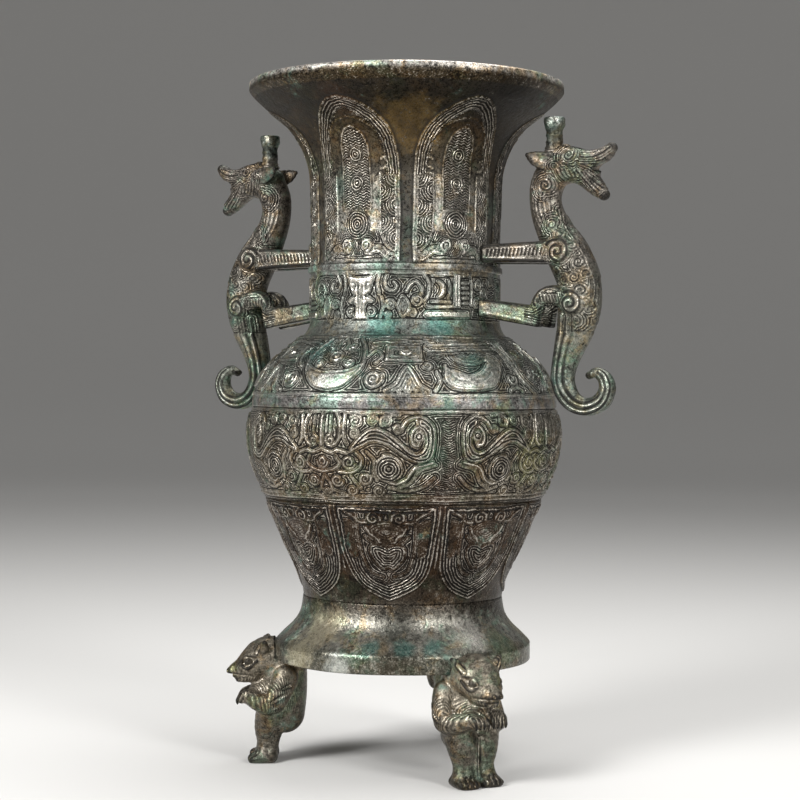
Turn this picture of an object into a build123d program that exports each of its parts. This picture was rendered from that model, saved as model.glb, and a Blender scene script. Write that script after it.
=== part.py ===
from build123d import *
import os
from math import radians, sin

# Bronze hu vessel: a flared mouth over a round belly, carried by three bear feet, with two
# climbing beasts as handles. The body is cast as a stack of rings. Each ring carries an inner
# sleeve that registers the ring above it, and the seams lie on the plain string courses.
# Handles, horns, tails and feet are castings of their own, set in with tenons.
# Millimetres, +Z up. The origin lies on the vessel's axis, level with the soles of the feet.
# The front faces -Y, the handles stand at +X and -X.

# Walls and joints
WALL = 3.6
SEAM_GAP = 0.1
SLEEVE_WALL = 1.7
SLEEVE_RISE = 3.0
SLEEVE_ROOT = 4.0
SLEEVE_BITE = 0.6
LINING_STEPS = 6

# Heights of the stack, from the soles up
FOOT_CLEARANCE = 58.5
FOOT_EDGE = 10.0
FOOT_RISE = 25.5
LOWER_BELLY_RISE = 54.5
BELLY_RISE = 50.5
SHOULDER_RISE = 39.5
COLLAR_RISE = 38.5
NECK_RISE = 103.0

# Outer radii of the body
FOOT_RADIUS = 71.5
WAIST_RADIUS = 55.7
GIRDLE_RADIUS = 78.0
BELLY_RADIUS = 87.8
BAND_RADIUS = 84.5
SHOULDER_TOP_RADIUS = 58.5
NECK_RADIUS = 53.4
RIM_RADIUS = 88.4

# String courses and edges
FOOT_EDGE_WIDTH = 11.5
FOOT_SHOULDER = 1.2
COLLAR_SET_BACK = 0.2
COLLAR_BASE_SPREAD = 3.8
COLLAR_BASE_RISE = 9.0
LEDGE_PROUD = 1.0
LEDGE_RISE = 3.8
BELLY_LIP = 1.4
CUP_RADIUS = 66.8
CUP_RISE = 28.5
BELLY_WIDEST_DROP = 13.0
BAND_RISE = 5.0
BAND_PROUD = 0.7
SHOULDER_MID_RADIUS = 78.6
SHOULDER_MID_RISE = 20.5
SHOULDER_SEAT = 3.6

# Ways in which the profile curves leave their ends: out, up
FOOT_FLARE_WAY = (-1.0, 0.42)
CUP_FOOT_WAY = (0.12, 1)
GIRDLE_WAY = (0.42, 1)
BAND_WAY = (-0.35, 1)
SHOULDER_TOP_WAY = (-1.05, 1)
COVE_WAY = (-1, 1)
PLUMB = (0, 1)

# Mouth
NECK_STRAIGHT = 40.0
FLARE_RADIUS = 63.5
FLARE_RISE = 75.0
FLARE_LEAN = 1.0
LIP_RISE = 5.0
LIP_WIDTH = 4.4
LIP_ROUND = 1.4

# Floor of the vessel, a disc on a ledge inside the foot ring
FLOOR_THICKNESS = 3.2
FLOOR_DROP = 8.0
FLOOR_LEDGE_WIDTH = 4.0
FLOOR_LEDGE_RISE = 3.0

# Leaf panels in low relief
RELIEF = 0.8
RELIEF_ROOT = 0.6
NECK_LEAVES = 6
NECK_LEAF_START = -90.0
NECK_LEAF_HALF_WIDTH = 23.5
NECK_LEAF_FOOT = 1.5
NECK_LEAF_STRAIGHT = 62.5
NECK_LEAF_ARCH = 24.0
BELLY_LEAVES = 8
BELLY_LEAF_START = -67.5
BELLY_LEAF_HALF_WIDTH = 23.0
BELLY_LEAF_TOP = 4.5
BELLY_LEAF_STRAIGHT = 20.0
BELLY_LEAF_POINT = 27.0
BELLY_LEAF_LEAN = 0.12

# Masks in relief on the belly, four of them. Strokes run in degrees from a mask's middle line and
# in height above the girdle. Only one half of a mask is given.
MASKS = 4
MASK_RELIEF = 1.0
MASK_TURN_DEGREES = 25.0
HORN_TOP_LINE = [
    (11.0, 29.5), (14.0, 34.5), (17.0, 38.5), (20.0, 40.0), (23.0, 38.5), (26.0, 35.5), (29.0, 31.5),
    (31.5, 28.5), (34.0, 27.2), (36.2, 29.0), (37.3, 32.5), (37.3, 36.5), (36.3, 40.0), (34.5, 41.5),
]
HORN_UNDER_LINE = [
    (11.0, 28.0), (15.0, 31.5), (18.0, 33.8), (21.0, 34.0), (24.0, 32.5), (27.0, 29.5), (30.0, 26.5),
    (33.0, 24.2), (36.5, 23.8), (38.8, 26.0), (39.8, 31.5), (40.0, 37.5), (39.0, 42.5), (36.8, 45.5),
    (34.0, 46.5),
]
VOLUTE = (24.2, 19.1)
VOLUTE_RADIUS = 7.6
VOLUTE_EYE_RADIUS = 3.4
MASK_STUDS = [(0.0, 22.9), (10.0, 22.7), (5.0, 13.1), (15.6, 14.3), (10.6, 8.1), (20.6, 7.7)]
MASK_STUD_RADIUS = 3.0
NOSE_HALF_WIDTH = 5.6
NOSE_FOOT = 31.5
NOSE_TOP = 47.5
SCROLLS = [(12.6, 43.9, 3.6), (23.6, 44.5, 3.2), (12.2, 37.3, 2.7)]

# Dragons in relief on the shoulder. Strokes run in degrees from the front or back middle line and
# in height above the plain band's foot. A quarter of the ring is given.
DRAGON_PAIRS = 2
DRAGON_RELIEF = 1.1
WING_OUTER_LINE = [(12.6, 23.0), (10.0, 17.0), (6.0, 12.4), (0.0, 10.6)]
WING_INNER_LINE = [(12.6, 23.0), (7.0, 19.6), (0.0, 19.0)]
CREST_TURN_DEGREES = 57.0
CREST_OUTER_LINE = [
    (45.5, 23.0), (45.0, 15.6), (48.0, 11.6), (55.0, 10.6), (62.0, 11.6), (66.0, 14.0), (70.0, 21.6),
    (69.4, 26.6), (66.4, 27.8), (64.0, 25.0),
]
CREST_INNER_LINE = [(64.0, 25.0), (60.0, 19.6), (55.0, 17.6), (51.0, 19.2), (45.5, 23.0)]
BEAK = [(40.0, 30.0), (56.0, 31.0), (72.4, 32.0), (72.4, 35.4), (56.0, 34.6), (40.0, 34.4)]
EYE_TURN_DEGREES = 29.0
EYE_FRAME = [(21.6, 25.2), (36.8, 25.2), (36.8, 33.0), (21.6, 33.0)]
EYE_OPENING = [(23.6, 27.0), (34.8, 27.0), (34.8, 31.6), (23.6, 31.6)]
PUPIL = (30.0, 29.4)
PUPIL_RADIUS = 1.9
CHEVRON = [(23.0, 10.0), (30.5, 22.8), (38.0, 10.0), (35.6, 10.0), (30.5, 18.6), (25.4, 10.0)]
COILS = [(18.0, 15.6, 4.2), (74.4, 16.0, 3.2), (84.6, 29.0, 3.4)]
FRONT_DEGREES = -90.0

# Handle beasts. Stations run from the rump to the skull: distance from the vessel's axis,
# height above the neck seam, half depth in the handle's plane, half width across it.
BEAST_STAND_OFF = 45.6
BEAST_STATIONS = [
    (5.0, -37.0, 9.4, 7.6),
    (7.4, -29.0, 11.4, 9.0),
    (8.6, -20.5, 12.0, 10.4),
    (8.2, -11.0, 12.0, 10.6),
    (5.2, -2.0, 12.2, 10.2),
    (0.4, 7.0, 12.0, 9.8),
    (-5.6, 16.5, 10.8, 9.0),
    (-9.8, 26.0, 10.0, 8.4),
    (-11.6, 34.5, 9.8, 8.0),
    (-10.6, 43.0, 10.2, 8.0),
    (-6.4, 50.5, 10.0, 8.2),
    (1.0, 52.4, 9.6, 8.2),
    (10.0, 51.4, 8.6, 7.2),
    (15.5, 50.0, 7.2, 6.4),
]
UPPER_JAW = [(11.0, 55.4, 5.0, 6.4), (18.5, 56.4, 3.4, 5.2), (27.0, 60.0, 1.7, 3.4)]
LOWER_JAW = [(9.0, 50.0, 6.4, 6.4), (15.0, 43.5, 4.8, 5.2), (22.0, 36.6, 2.6, 3.6)]
EAR_STATIONS = [
    (-1.0, 55.0, 2.6, 1.8),
    (-8.0, 54.6, 4.6, 2.2),
    (-16.0, 56.6, 2.8, 1.6),
    (-21.0, 58.4, 0.8, 0.7),
]
EAR_SPREAD = 7.4
EAR_FLARE = 0.22

# Legs of the beasts
LEG_SPREAD = 8.0
FORELEG_RISE = 6.0
SHOULDER_OUT = -1.0
FORELEG_DEEP = 5.6
FORELEG_DEEP_AT_PAW = 4.2
FORELEG_WIDE = 3.4
HIP_OUT = 8.0
HIP_RISE = -21.5
KNEE_OUT = -11.0
KNEE_RISE = -18.0
HEEL_OUT = -15.0
HEEL_RISE = -28.0
PAW_RISE = -23.5
THIGH_RADIUS = 5.6
KNEE_RADIUS = 4.8
HEEL_RADIUS = 4.4
PAW_RADIUS = 4.2
BOSS_RADIUS = 7.8
BOSS_PROUD = 3.2
TENON_RADIUS = 2.0

# Horn on the beast's head
HORN_OUT = -7.2
HORN_SEAT_RISE = 60.4
HORN_RISE = 19.0
HORN_FOOT_RADIUS = 5.0
HORN_RADIUS = 4.0
HORN_CAP_RADIUS = 5.2
HORN_CAP_RISE = 4.0
HORN_CAP_ROUND = 0.8
HORN_TENON_RADIUS = 2.4
HORN_TENON_LENGTH = 5.0

# Tail of the beast, from its root to the curled tip
TAIL_STATIONS = [
    (2.2, -45.0, 8.6, 6.6),
    (0.0, -53.0, 7.2, 5.8),
    (-1.0, -61.0, 6.6, 5.4),
    (0.7, -67.5, 6.0, 5.2),
    (4.6, -73.2, 5.4, 5.0),
    (10.2, -76.2, 5.0, 4.8),
    (16.6, -76.0, 4.9, 4.6),
    (22.0, -72.6, 4.8, 4.4),
    (24.7, -67.0, 4.5, 4.2),
    (23.4, -61.4, 3.9, 3.8),
    (19.0, -58.2, 3.0, 3.2),
    (14.4, -59.4, 1.8, 2.2),
]
TAIL_STEP = 0.6
TAIL_TENON_RADIUS = 3.0
TAIL_TENON_LENGTH = 7.0

# Bear feet, each in its own frame: outwards from the bear's centre, across, and up
BEAR_SET_BACK = 5.5
BEAR_TURN_DEGREES = {"front_right": -30.0, "back": 90.0, "front_left": 210.0}
TORSO_STATIONS = [
    (-3.0, 14.0, 8.0, 8.5),
    (-2.4, 21.0, 11.6, 13.5),
    (-1.8, 32.0, 12.6, 15.0),
    (-2.2, 45.0, 11.6, 14.0),
    (-3.0, 62.0, 10.0, 11.6),
]
LEG_STATIONS = [(6.0, 27.0, 9.0, 7.4), (5.8, 18.0, 9.0, 7.2), (6.4, 10.0, 6.2, 5.8), (6.6, 5.0, 6.0, 5.8)]
LEG_HALF_GAP = 6.6
SOLE_BACK = 0.8
SOLE_FRONT = 18.0
SOLE_HALF_WIDTH = 6.9
SOLE_RISE = 7.0
SOLE_ROUND = 3.0
SOLE_SLOPE_DEGREES = 14.0
HEAD_STATIONS = [
    (2.0, 55.0, 10.0, 11.0),
    (12.0, 55.4, 10.6, 11.4),
    (21.0, 52.0, 7.6, 8.2),
    (28.0, 48.6, 4.8, 5.4),
    (31.6, 47.0, 2.6, 3.6),
]
EAR_OUT = 9.6
EAR_ACROSS = 9.0
EAR_UP = 66.0
EAR_RADIUS = 3.8
BEAR_ARM = [(1.0, 13.0, 45.0), (6.5, 15.2, 28.5), (20.0, 6.0, 34.0)]
BEAR_ARM_RADIUS = 4.8
BEAR_WRIST_RADIUS = 4.0
BEAR_PAW_RADIUS = 4.6
BEAR_TENON_RADIUS = 3.0
BEAR_TENON_LENGTH = 6.0

# Levels and places worked out from the stack
z_foot = FOOT_CLEARANCE
z_edge = z_foot + FOOT_EDGE
z_waist = z_edge + FOOT_RISE
z_girdle = z_waist + LOWER_BELLY_RISE
z_band = z_girdle + BELLY_RISE
z_shoulder = z_band + SHOULDER_RISE
z_ledge = z_shoulder + COLLAR_RISE
z_rim = z_ledge + NECK_RISE
z_floor = z_waist - FLOOR_DROP
floor_radius = WAIST_RADIUS - WALL - SLEEVE_WALL - 2 * SEAM_GAP
collar_radius = NECK_RADIUS - COLLAR_SET_BACK
beast_reach = NECK_RADIUS + BEAST_STAND_OFF
bear_radius = FOOT_RADIUS - BEAR_SET_BACK

os.makedirs("parts", exist_ok=True)


def lining(outer, depth):
    """Points level with a wall's outer curve and one depth in from its face."""
    points = []
    for step in range(LINING_STEPS + 1):
        share = step / LINING_STEPS
        place = outer.position_at(share)
        slope = outer.tangent_at(share)
        points.append((place.X - depth / abs(slope.Y), place.Y))
    return points


def band(inner_radius, outer_radius, low, high, mode=Mode.ADD):
    """A plain ring with square edges, revolved about the vessel's axis."""
    with BuildSketch(Plane.XZ) as section:
        with Locations((inner_radius, low)):
            Rectangle(outer_radius - inner_radius, high - low, align=(Align.MIN, Align.MIN))
    revolve(section.sketch, axis=Axis.Z, mode=mode)


def radius_at(curve, level):
    """Radius of a rising profile curve at one level."""
    low, high = 0.0, 1.0
    for _ in range(40):
        middle = (low + high) / 2
        if curve.position_at(middle).Y < level:
            low = middle
        else:
            high = middle
    return curve.position_at(low).X


def sleeve(bore, seam):
    """The inner sleeve that stands up from a ring into the bore of the ring above it."""
    outer = bore - SEAM_GAP
    band(outer - SLEEVE_WALL, outer, seam - SLEEVE_ROOT, seam + SLEEVE_RISE)
    band(outer - SLEEVE_WALL, bore + SLEEVE_BITE, seam - SLEEVE_ROOT, seam)


def loft_along(stations, place, first_way=None):
    """A solid through elliptic sections. Each station is out, up, half depth and half width."""
    sections = []
    for index, (out, up, deep, wide) in enumerate(stations):
        before = stations[max(index - 1, 0)]
        after = stations[min(index + 1, len(stations) - 1)]
        way = Vector(after[0] - before[0], 0, after[1] - before[1])
        if index == 0 and first_way:
            way = first_way
        with BuildSketch(Plane(origin=place(out, 0, up), x_dir=(0, 1, 0), z_dir=way)) as section:
            Ellipse(wide, deep)
        sections.append(section.sketch)
    loft(sections)


def limb(start, end, start_radius, end_radius):
    """A tapered round limb with a ball at its far end."""
    way = Vector(*end) - Vector(*start)
    with BuildSketch(Plane(origin=start, z_dir=way)) as near:
        Circle(start_radius)
    with BuildSketch(Plane(origin=end, z_dir=way)) as far:
        Circle(end_radius)
    loft([near.sketch, far.sketch])
    with Locations(end):
        Sphere(end_radius)


def facing(points, turn, curve, seam):
    """Places on an upright plane that faces out at one turn, from degrees and height above a seam."""
    return [(radius_at(curve, seam + up) * sin(radians(way - turn)), seam + up) for way, up in points]


def outward(turn):
    """The upright plane through the vessel's axis that faces out at one turn from +X."""
    return Plane.YZ.rotated((0, 0, turn))


def relief_skin(curve, proud):
    """A thin skin over a wall's outer face, from just inside it to the height of the relief."""
    with BuildSketch(Plane.XZ) as section:
        with BuildLine():
            Spline(*lining(curve, RELIEF_ROOT))
            Line(lining(curve, RELIEF_ROOT)[-1], lining(curve, -proud)[-1])
            Spline(*reversed(lining(curve, -proud)))
            Line(lining(curve, -proud)[0], lining(curve, RELIEF_ROOT)[0])
        make_face()
    revolve(section.sketch, axis=Axis.Z)


# Foot ring: a flared foot with an upright edge. A ledge inside carries the floor.
with BuildPart() as foot_ring:
    with BuildSketch(Plane.XZ):
        with BuildLine():
            flare = Spline(
                (FOOT_RADIUS - FOOT_SHOULDER, z_edge + FOOT_SHOULDER),
                (WAIST_RADIUS, z_waist),
                tangents=(FOOT_FLARE_WAY, PLUMB),
            )
            under = lining(flare, WALL)
            Polyline(
                (WAIST_RADIUS, z_waist),
                (WAIST_RADIUS - WALL, z_waist),
            )
            inner = Spline(*reversed(under[1:]))
            Polyline(
                inner @ 1,
                (FOOT_RADIUS - FOOT_EDGE_WIDTH, z_edge),
                (FOOT_RADIUS - FOOT_EDGE_WIDTH, z_foot),
                (FOOT_RADIUS, z_foot),
                (FOOT_RADIUS, z_edge),
                (FOOT_RADIUS - FOOT_SHOULDER, z_edge + FOOT_SHOULDER),
            )
        make_face()
    revolve(axis=Axis.Z)
    sleeve(WAIST_RADIUS - WALL, z_waist)
    ledge_foot = z_floor - FLOOR_LEDGE_RISE
    band(floor_radius - FLOOR_LEDGE_WIDTH, radius_at(flare, ledge_foot) - WALL / 2, ledge_foot, z_floor)
    with Locations((0, 0, z_foot)):
        with PolarLocations(bear_radius, len(BEAR_TURN_DEGREES), BEAR_TURN_DEGREES["front_right"]):
            Cylinder(
                BEAR_TENON_RADIUS + SEAM_GAP,
                BEAR_TENON_LENGTH + SEAM_GAP,
                align=(Align.CENTER, Align.CENTER, Align.MIN),
                mode=Mode.SUBTRACT,
            )
foot_ring.part.label = "foot_ring"
export_step(foot_ring.part, "parts/foot_ring.step")


# Floor plate: a plain disc dropped in from above, resting on the ledge of the foot ring.
with BuildPart() as floor_plate:
    with Locations((0, 0, z_floor)):
        Cylinder(floor_radius, FLOOR_THICKNESS, align=(Align.CENTER, Align.CENTER, Align.MIN))
floor_plate.part.label = "floor_plate"
export_step(floor_plate.part, "parts/floor_plate.step")

# Lower belly: a cup that opens upwards, with pointed leaves in low relief hanging round it.
with BuildPart() as lower_belly:
    with BuildSketch(Plane.XZ):
        with BuildLine():
            cup = Spline(
                (WAIST_RADIUS, z_waist),
                (CUP_RADIUS, z_waist + CUP_RISE),
                (GIRDLE_RADIUS - BELLY_LIP, z_girdle),
                tangents=(CUP_FOOT_WAY, GIRDLE_WAY),
            )
            Line(cup @ 1, (lining(cup, WALL)[-1]))
            Spline(*reversed(lining(cup, WALL)))
            Line(lining(cup, WALL)[0], cup @ 0)
        make_face()
    revolve(axis=Axis.Z)
    sleeve(lining(cup, WALL)[-1][0], z_girdle)

with BuildPart() as belly_leaf:
    relief_skin(cup, RELIEF)
    with BuildSketch(Plane.YZ):
        with BuildLine():
            leaf_top = z_girdle - BELLY_LEAF_TOP
            leaf_bend = leaf_top - BELLY_LEAF_STRAIGHT
            leaf_tip = leaf_bend - BELLY_LEAF_POINT
            Polyline(
                (-BELLY_LEAF_HALF_WIDTH, leaf_bend),
                (-BELLY_LEAF_HALF_WIDTH, leaf_top),
                (BELLY_LEAF_HALF_WIDTH, leaf_top),
                (BELLY_LEAF_HALF_WIDTH, leaf_bend),
            )
            TangentArc((BELLY_LEAF_HALF_WIDTH, leaf_bend), (0, leaf_tip), tangent=(-BELLY_LEAF_LEAN, -1))
            TangentArc((-BELLY_LEAF_HALF_WIDTH, leaf_bend), (0, leaf_tip), tangent=(BELLY_LEAF_LEAN, -1))
        make_face()
    extrude(amount=BELLY_RADIUS, mode=Mode.INTERSECT)

with BuildPart() as dressed_lower_belly:
    add(lower_belly.part)
    with PolarLocations(0, BELLY_LEAVES, start_angle=BELLY_LEAF_START):
        add(belly_leaf.part)
dressed_lower_belly.part.label = "lower_belly"
export_step(dressed_lower_belly.part, "parts/lower_belly.step")

# Belly: the widest ring, overhanging the lower belly by a narrow lip.
with BuildPart() as belly:
    with BuildSketch(Plane.XZ):
        with BuildLine():
            swell = Spline(
                (GIRDLE_RADIUS, z_girdle),
                (BELLY_RADIUS, z_band - BELLY_WIDEST_DROP),
                (BAND_RADIUS, z_band),
                tangents=(GIRDLE_WAY, BAND_WAY),
            )
            Line(swell @ 1, lining(swell, WALL)[-1])
            Spline(*reversed(lining(swell, WALL)))
            Line(lining(swell, WALL)[0], swell @ 0)
        make_face()
    revolve(axis=Axis.Z)
    sleeve(lining(swell, WALL)[-1][0], z_band)

with BuildPart() as half_mask:
    relief_skin(swell, MASK_RELIEF)
    with BuildSketch(outward(MASK_TURN_DEGREES)) as strokes:
        with BuildLine():
            horn_top_edge = Spline(*facing(HORN_TOP_LINE, MASK_TURN_DEGREES, swell, z_girdle))
            horn_under_edge = Spline(*facing(HORN_UNDER_LINE, MASK_TURN_DEGREES, swell, z_girdle))
            Line(horn_top_edge @ 0, horn_under_edge @ 0)
            Line(horn_top_edge @ 1, horn_under_edge @ 1)
        make_face()
        with Locations(*facing([VOLUTE], MASK_TURN_DEGREES, swell, z_girdle)):
            Circle(VOLUTE_RADIUS)
            Circle(VOLUTE_EYE_RADIUS, mode=Mode.SUBTRACT)
        for way, up, radius in SCROLLS:
            with Locations(*facing([(way, up)], MASK_TURN_DEGREES, swell, z_girdle)):
                Circle(radius)
        with Locations(*facing(MASK_STUDS[1:], MASK_TURN_DEGREES, swell, z_girdle)):
            Circle(MASK_STUD_RADIUS)
    extrude(strokes.sketch, amount=BELLY_RADIUS + MASK_RELIEF, mode=Mode.INTERSECT)

with BuildPart() as nose:
    relief_skin(swell, MASK_RELIEF)
    with BuildSketch(outward(0)) as strokes:
        with Locations((0, z_girdle + NOSE_FOOT)):
            Rectangle(2 * NOSE_HALF_WIDTH, NOSE_TOP - NOSE_FOOT, align=(Align.CENTER, Align.MIN))
        with Locations(*facing(MASK_STUDS[:1], 0, swell, z_girdle)):
            Circle(MASK_STUD_RADIUS)
    extrude(strokes.sketch, amount=BELLY_RADIUS + MASK_RELIEF, mode=Mode.INTERSECT)

other_half_mask = mirror(half_mask.part, about=Plane.XZ)

with BuildPart() as dressed_belly:
    add(belly.part)
    with PolarLocations(0, MASKS):
        add([nose.part, half_mask.part, other_half_mask])
dressed_belly.part.label = "belly"
export_step(dressed_belly.part, "parts/belly.step")

# Shoulder: a plain band below, a steep curve above, and a seat at the top for the collar.
collar_bore = collar_radius - WALL
with BuildPart() as shoulder:
    with BuildSketch(Plane.XZ):
        with BuildLine():
            slope = Spline(
                (BAND_RADIUS, z_band),
                (SHOULDER_MID_RADIUS, z_band + SHOULDER_MID_RISE),
                (SHOULDER_TOP_RADIUS, z_shoulder),
                tangents=(PLUMB, SHOULDER_TOP_WAY),
            )
            Line(slope @ 1, lining(slope, WALL)[-1])
            Spline(*reversed(lining(slope, WALL)))
            Line(lining(slope, WALL)[0], slope @ 0)
        make_face()
    revolve(axis=Axis.Z)
    band(BAND_RADIUS - RELIEF_ROOT, BAND_RADIUS + BAND_PROUD, z_band, z_band + BAND_RISE)
    band(collar_bore - SEAM_GAP - SLEEVE_WALL, SHOULDER_TOP_RADIUS, z_shoulder - SHOULDER_SEAT, z_shoulder)
    sleeve(collar_bore, z_shoulder)

with BuildPart() as wing:
    relief_skin(slope, DRAGON_RELIEF)
    with BuildSketch(outward(0)) as strokes:
        with BuildLine():
            for line in (WING_OUTER_LINE, WING_INNER_LINE):
                half = facing(line, 0, slope, z_band)
                Spline(*half, *[(-across, up) for across, up in reversed(half[:-1])])
        make_face()
    extrude(strokes.sketch, amount=BAND_RADIUS + DRAGON_RELIEF, mode=Mode.INTERSECT)

with BuildPart() as crest:
    relief_skin(slope, DRAGON_RELIEF)
    with BuildSketch(outward(CREST_TURN_DEGREES)) as strokes:
        with BuildLine():
            Spline(*facing(CREST_OUTER_LINE, CREST_TURN_DEGREES, slope, z_band))
            Spline(*facing(CREST_INNER_LINE, CREST_TURN_DEGREES, slope, z_band))
        make_face()
        with BuildLine():
            Polyline(*facing(BEAK, CREST_TURN_DEGREES, slope, z_band), close=True)
        make_face()
    extrude(strokes.sketch, amount=BAND_RADIUS + DRAGON_RELIEF, mode=Mode.INTERSECT)

with BuildPart() as eye:
    relief_skin(slope, DRAGON_RELIEF)
    with BuildSketch(outward(EYE_TURN_DEGREES)) as strokes:
        with BuildLine():
            Polyline(*facing(EYE_FRAME, EYE_TURN_DEGREES, slope, z_band), close=True)
        make_face()
        with BuildLine():
            Polyline(*facing(EYE_OPENING, EYE_TURN_DEGREES, slope, z_band), close=True)
        make_face(mode=Mode.SUBTRACT)
        with BuildLine():
            Polyline(*facing(CHEVRON, EYE_TURN_DEGREES, slope, z_band), close=True)
        make_face()
        with Locations(*facing([PUPIL], EYE_TURN_DEGREES, slope, z_band)):
            Circle(PUPIL_RADIUS)
    extrude(strokes.sketch, amount=BAND_RADIUS + DRAGON_RELIEF, mode=Mode.INTERSECT)

coils = []
for way, up, radius in COILS:
    with BuildPart() as coil:
        relief_skin(slope, DRAGON_RELIEF)
        with BuildSketch(outward(way)) as strokes:
            with Locations(*facing([(way, up)], way, slope, z_band)):
                Circle(radius)
        extrude(strokes.sketch, amount=BAND_RADIUS + DRAGON_RELIEF, mode=Mode.INTERSECT)
    coils.append(coil.part)
dragon = [crest.part, eye.part] + coils
facing_dragon = [mirror(form, about=Plane.XZ) for form in dragon]

with BuildPart() as dressed_shoulder:
    add(shoulder.part)
    with PolarLocations(0, DRAGON_PAIRS, FRONT_DEGREES):
        add([wing.part] + dragon + facing_dragon)
dressed_shoulder.part.label = "shoulder"
export_step(dressed_shoulder.part, "parts/shoulder.step")

# Collar: a straight band on a spreading base, with a plain ledge round its top, drilled for the
# hind paws of the beasts.
hind_paw_level = z_ledge + PAW_RISE
fore_paw_level = z_ledge + FORELEG_RISE
with BuildPart() as collar:
    with BuildSketch(Plane.XZ):
        with BuildLine():
            cove = Spline(
                (collar_radius + COLLAR_BASE_SPREAD, z_shoulder),
                (collar_radius, z_shoulder + COLLAR_BASE_RISE),
                tangents=(COVE_WAY, PLUMB),
            )
            Polyline(
                cove @ 1,
                (collar_radius, z_ledge - LEDGE_RISE),
                (NECK_RADIUS + LEDGE_PROUD, z_ledge - LEDGE_RISE),
                (NECK_RADIUS + LEDGE_PROUD, z_ledge),
                (collar_bore, z_ledge),
                (collar_bore, z_shoulder),
                cove @ 0,
            )
        make_face()
    revolve(axis=Axis.Z)
    sleeve(NECK_RADIUS - WALL, z_ledge)
    with Locations((0, LEG_SPREAD, hind_paw_level), (0, -LEG_SPREAD, hind_paw_level)):
        Cylinder(TENON_RADIUS + SEAM_GAP, 2 * RIM_RADIUS, rotation=(0, 90, 0), mode=Mode.SUBTRACT)
collar.part.label = "collar"
export_step(collar.part, "parts/collar.step")

# Mouth and neck: a straight neck above the ledge, flaring to a thick lip. Six tall leaves
# stand round it in low relief, and it is drilled for the fore paws of the beasts.
lip_foot = z_rim - LIP_RISE
with BuildPart() as mouth:
    with BuildSketch(Plane.XZ):
        with BuildLine():
            trumpet = Spline(
                (NECK_RADIUS, z_ledge + NECK_STRAIGHT),
                (FLARE_RADIUS, z_ledge + FLARE_RISE),
                (RIM_RADIUS, lip_foot),
                tangents=(PLUMB, (FLARE_LEAN, 1)),
            )
            throat = lining(trumpet, WALL)
            Polyline(trumpet @ 1, (RIM_RADIUS, z_rim), (RIM_RADIUS - LIP_WIDTH, z_rim), throat[-1])
            Spline(*reversed(throat))
            Polyline(
                throat[0],
                (NECK_RADIUS - WALL, z_ledge),
                (NECK_RADIUS, z_ledge),
                trumpet @ 0,
            )
        make_face()
    revolve(axis=Axis.Z)
    fillet(mouth.edges().group_by(Axis.Z)[-1], LIP_ROUND)

with BuildPart() as neck_leaf:
    leaf_foot = z_ledge + NECK_LEAF_FOOT
    with BuildSketch(Plane.XZ):
        with BuildLine():
            Polyline(
                lining(trumpet, RELIEF_ROOT)[0],
                (NECK_RADIUS - RELIEF_ROOT, leaf_foot),
                (NECK_RADIUS + RELIEF, leaf_foot),
                lining(trumpet, -RELIEF)[0],
            )
            Spline(*lining(trumpet, -RELIEF))
            Line(lining(trumpet, -RELIEF)[-1], lining(trumpet, RELIEF_ROOT)[-1])
            Spline(*reversed(lining(trumpet, RELIEF_ROOT)))
        make_face()
    revolve(axis=Axis.Z)
    with BuildSketch(Plane.YZ):
        with BuildLine():
            arch_foot = leaf_foot + NECK_LEAF_STRAIGHT
            arch_top = arch_foot + NECK_LEAF_ARCH
            Polyline(
                (-NECK_LEAF_HALF_WIDTH, arch_foot),
                (-NECK_LEAF_HALF_WIDTH, leaf_foot),
                (NECK_LEAF_HALF_WIDTH, leaf_foot),
                (NECK_LEAF_HALF_WIDTH, arch_foot),
            )
            TangentArc((NECK_LEAF_HALF_WIDTH, arch_foot), (0, arch_top), tangent=PLUMB)
            TangentArc((-NECK_LEAF_HALF_WIDTH, arch_foot), (0, arch_top), tangent=PLUMB)
        make_face()
    extrude(amount=RIM_RADIUS, mode=Mode.INTERSECT)

with BuildPart() as mouth_neck:
    add(mouth.part)
    with PolarLocations(0, NECK_LEAVES, start_angle=NECK_LEAF_START):
        add(neck_leaf.part)
    with Locations((0, LEG_SPREAD, fore_paw_level), (0, -LEG_SPREAD, fore_paw_level)):
        Cylinder(TENON_RADIUS + SEAM_GAP, 2 * RIM_RADIUS, rotation=(0, 90, 0), mode=Mode.SUBTRACT)
mouth_neck.part.label = "mouth_neck"
export_step(mouth_neck.part, "parts/mouth_neck.step")


def at_beast(out, across, up):
    """A point of the right-hand beast, in the vessel's frame."""
    return (beast_reach + out, across, z_ledge + up)


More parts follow.
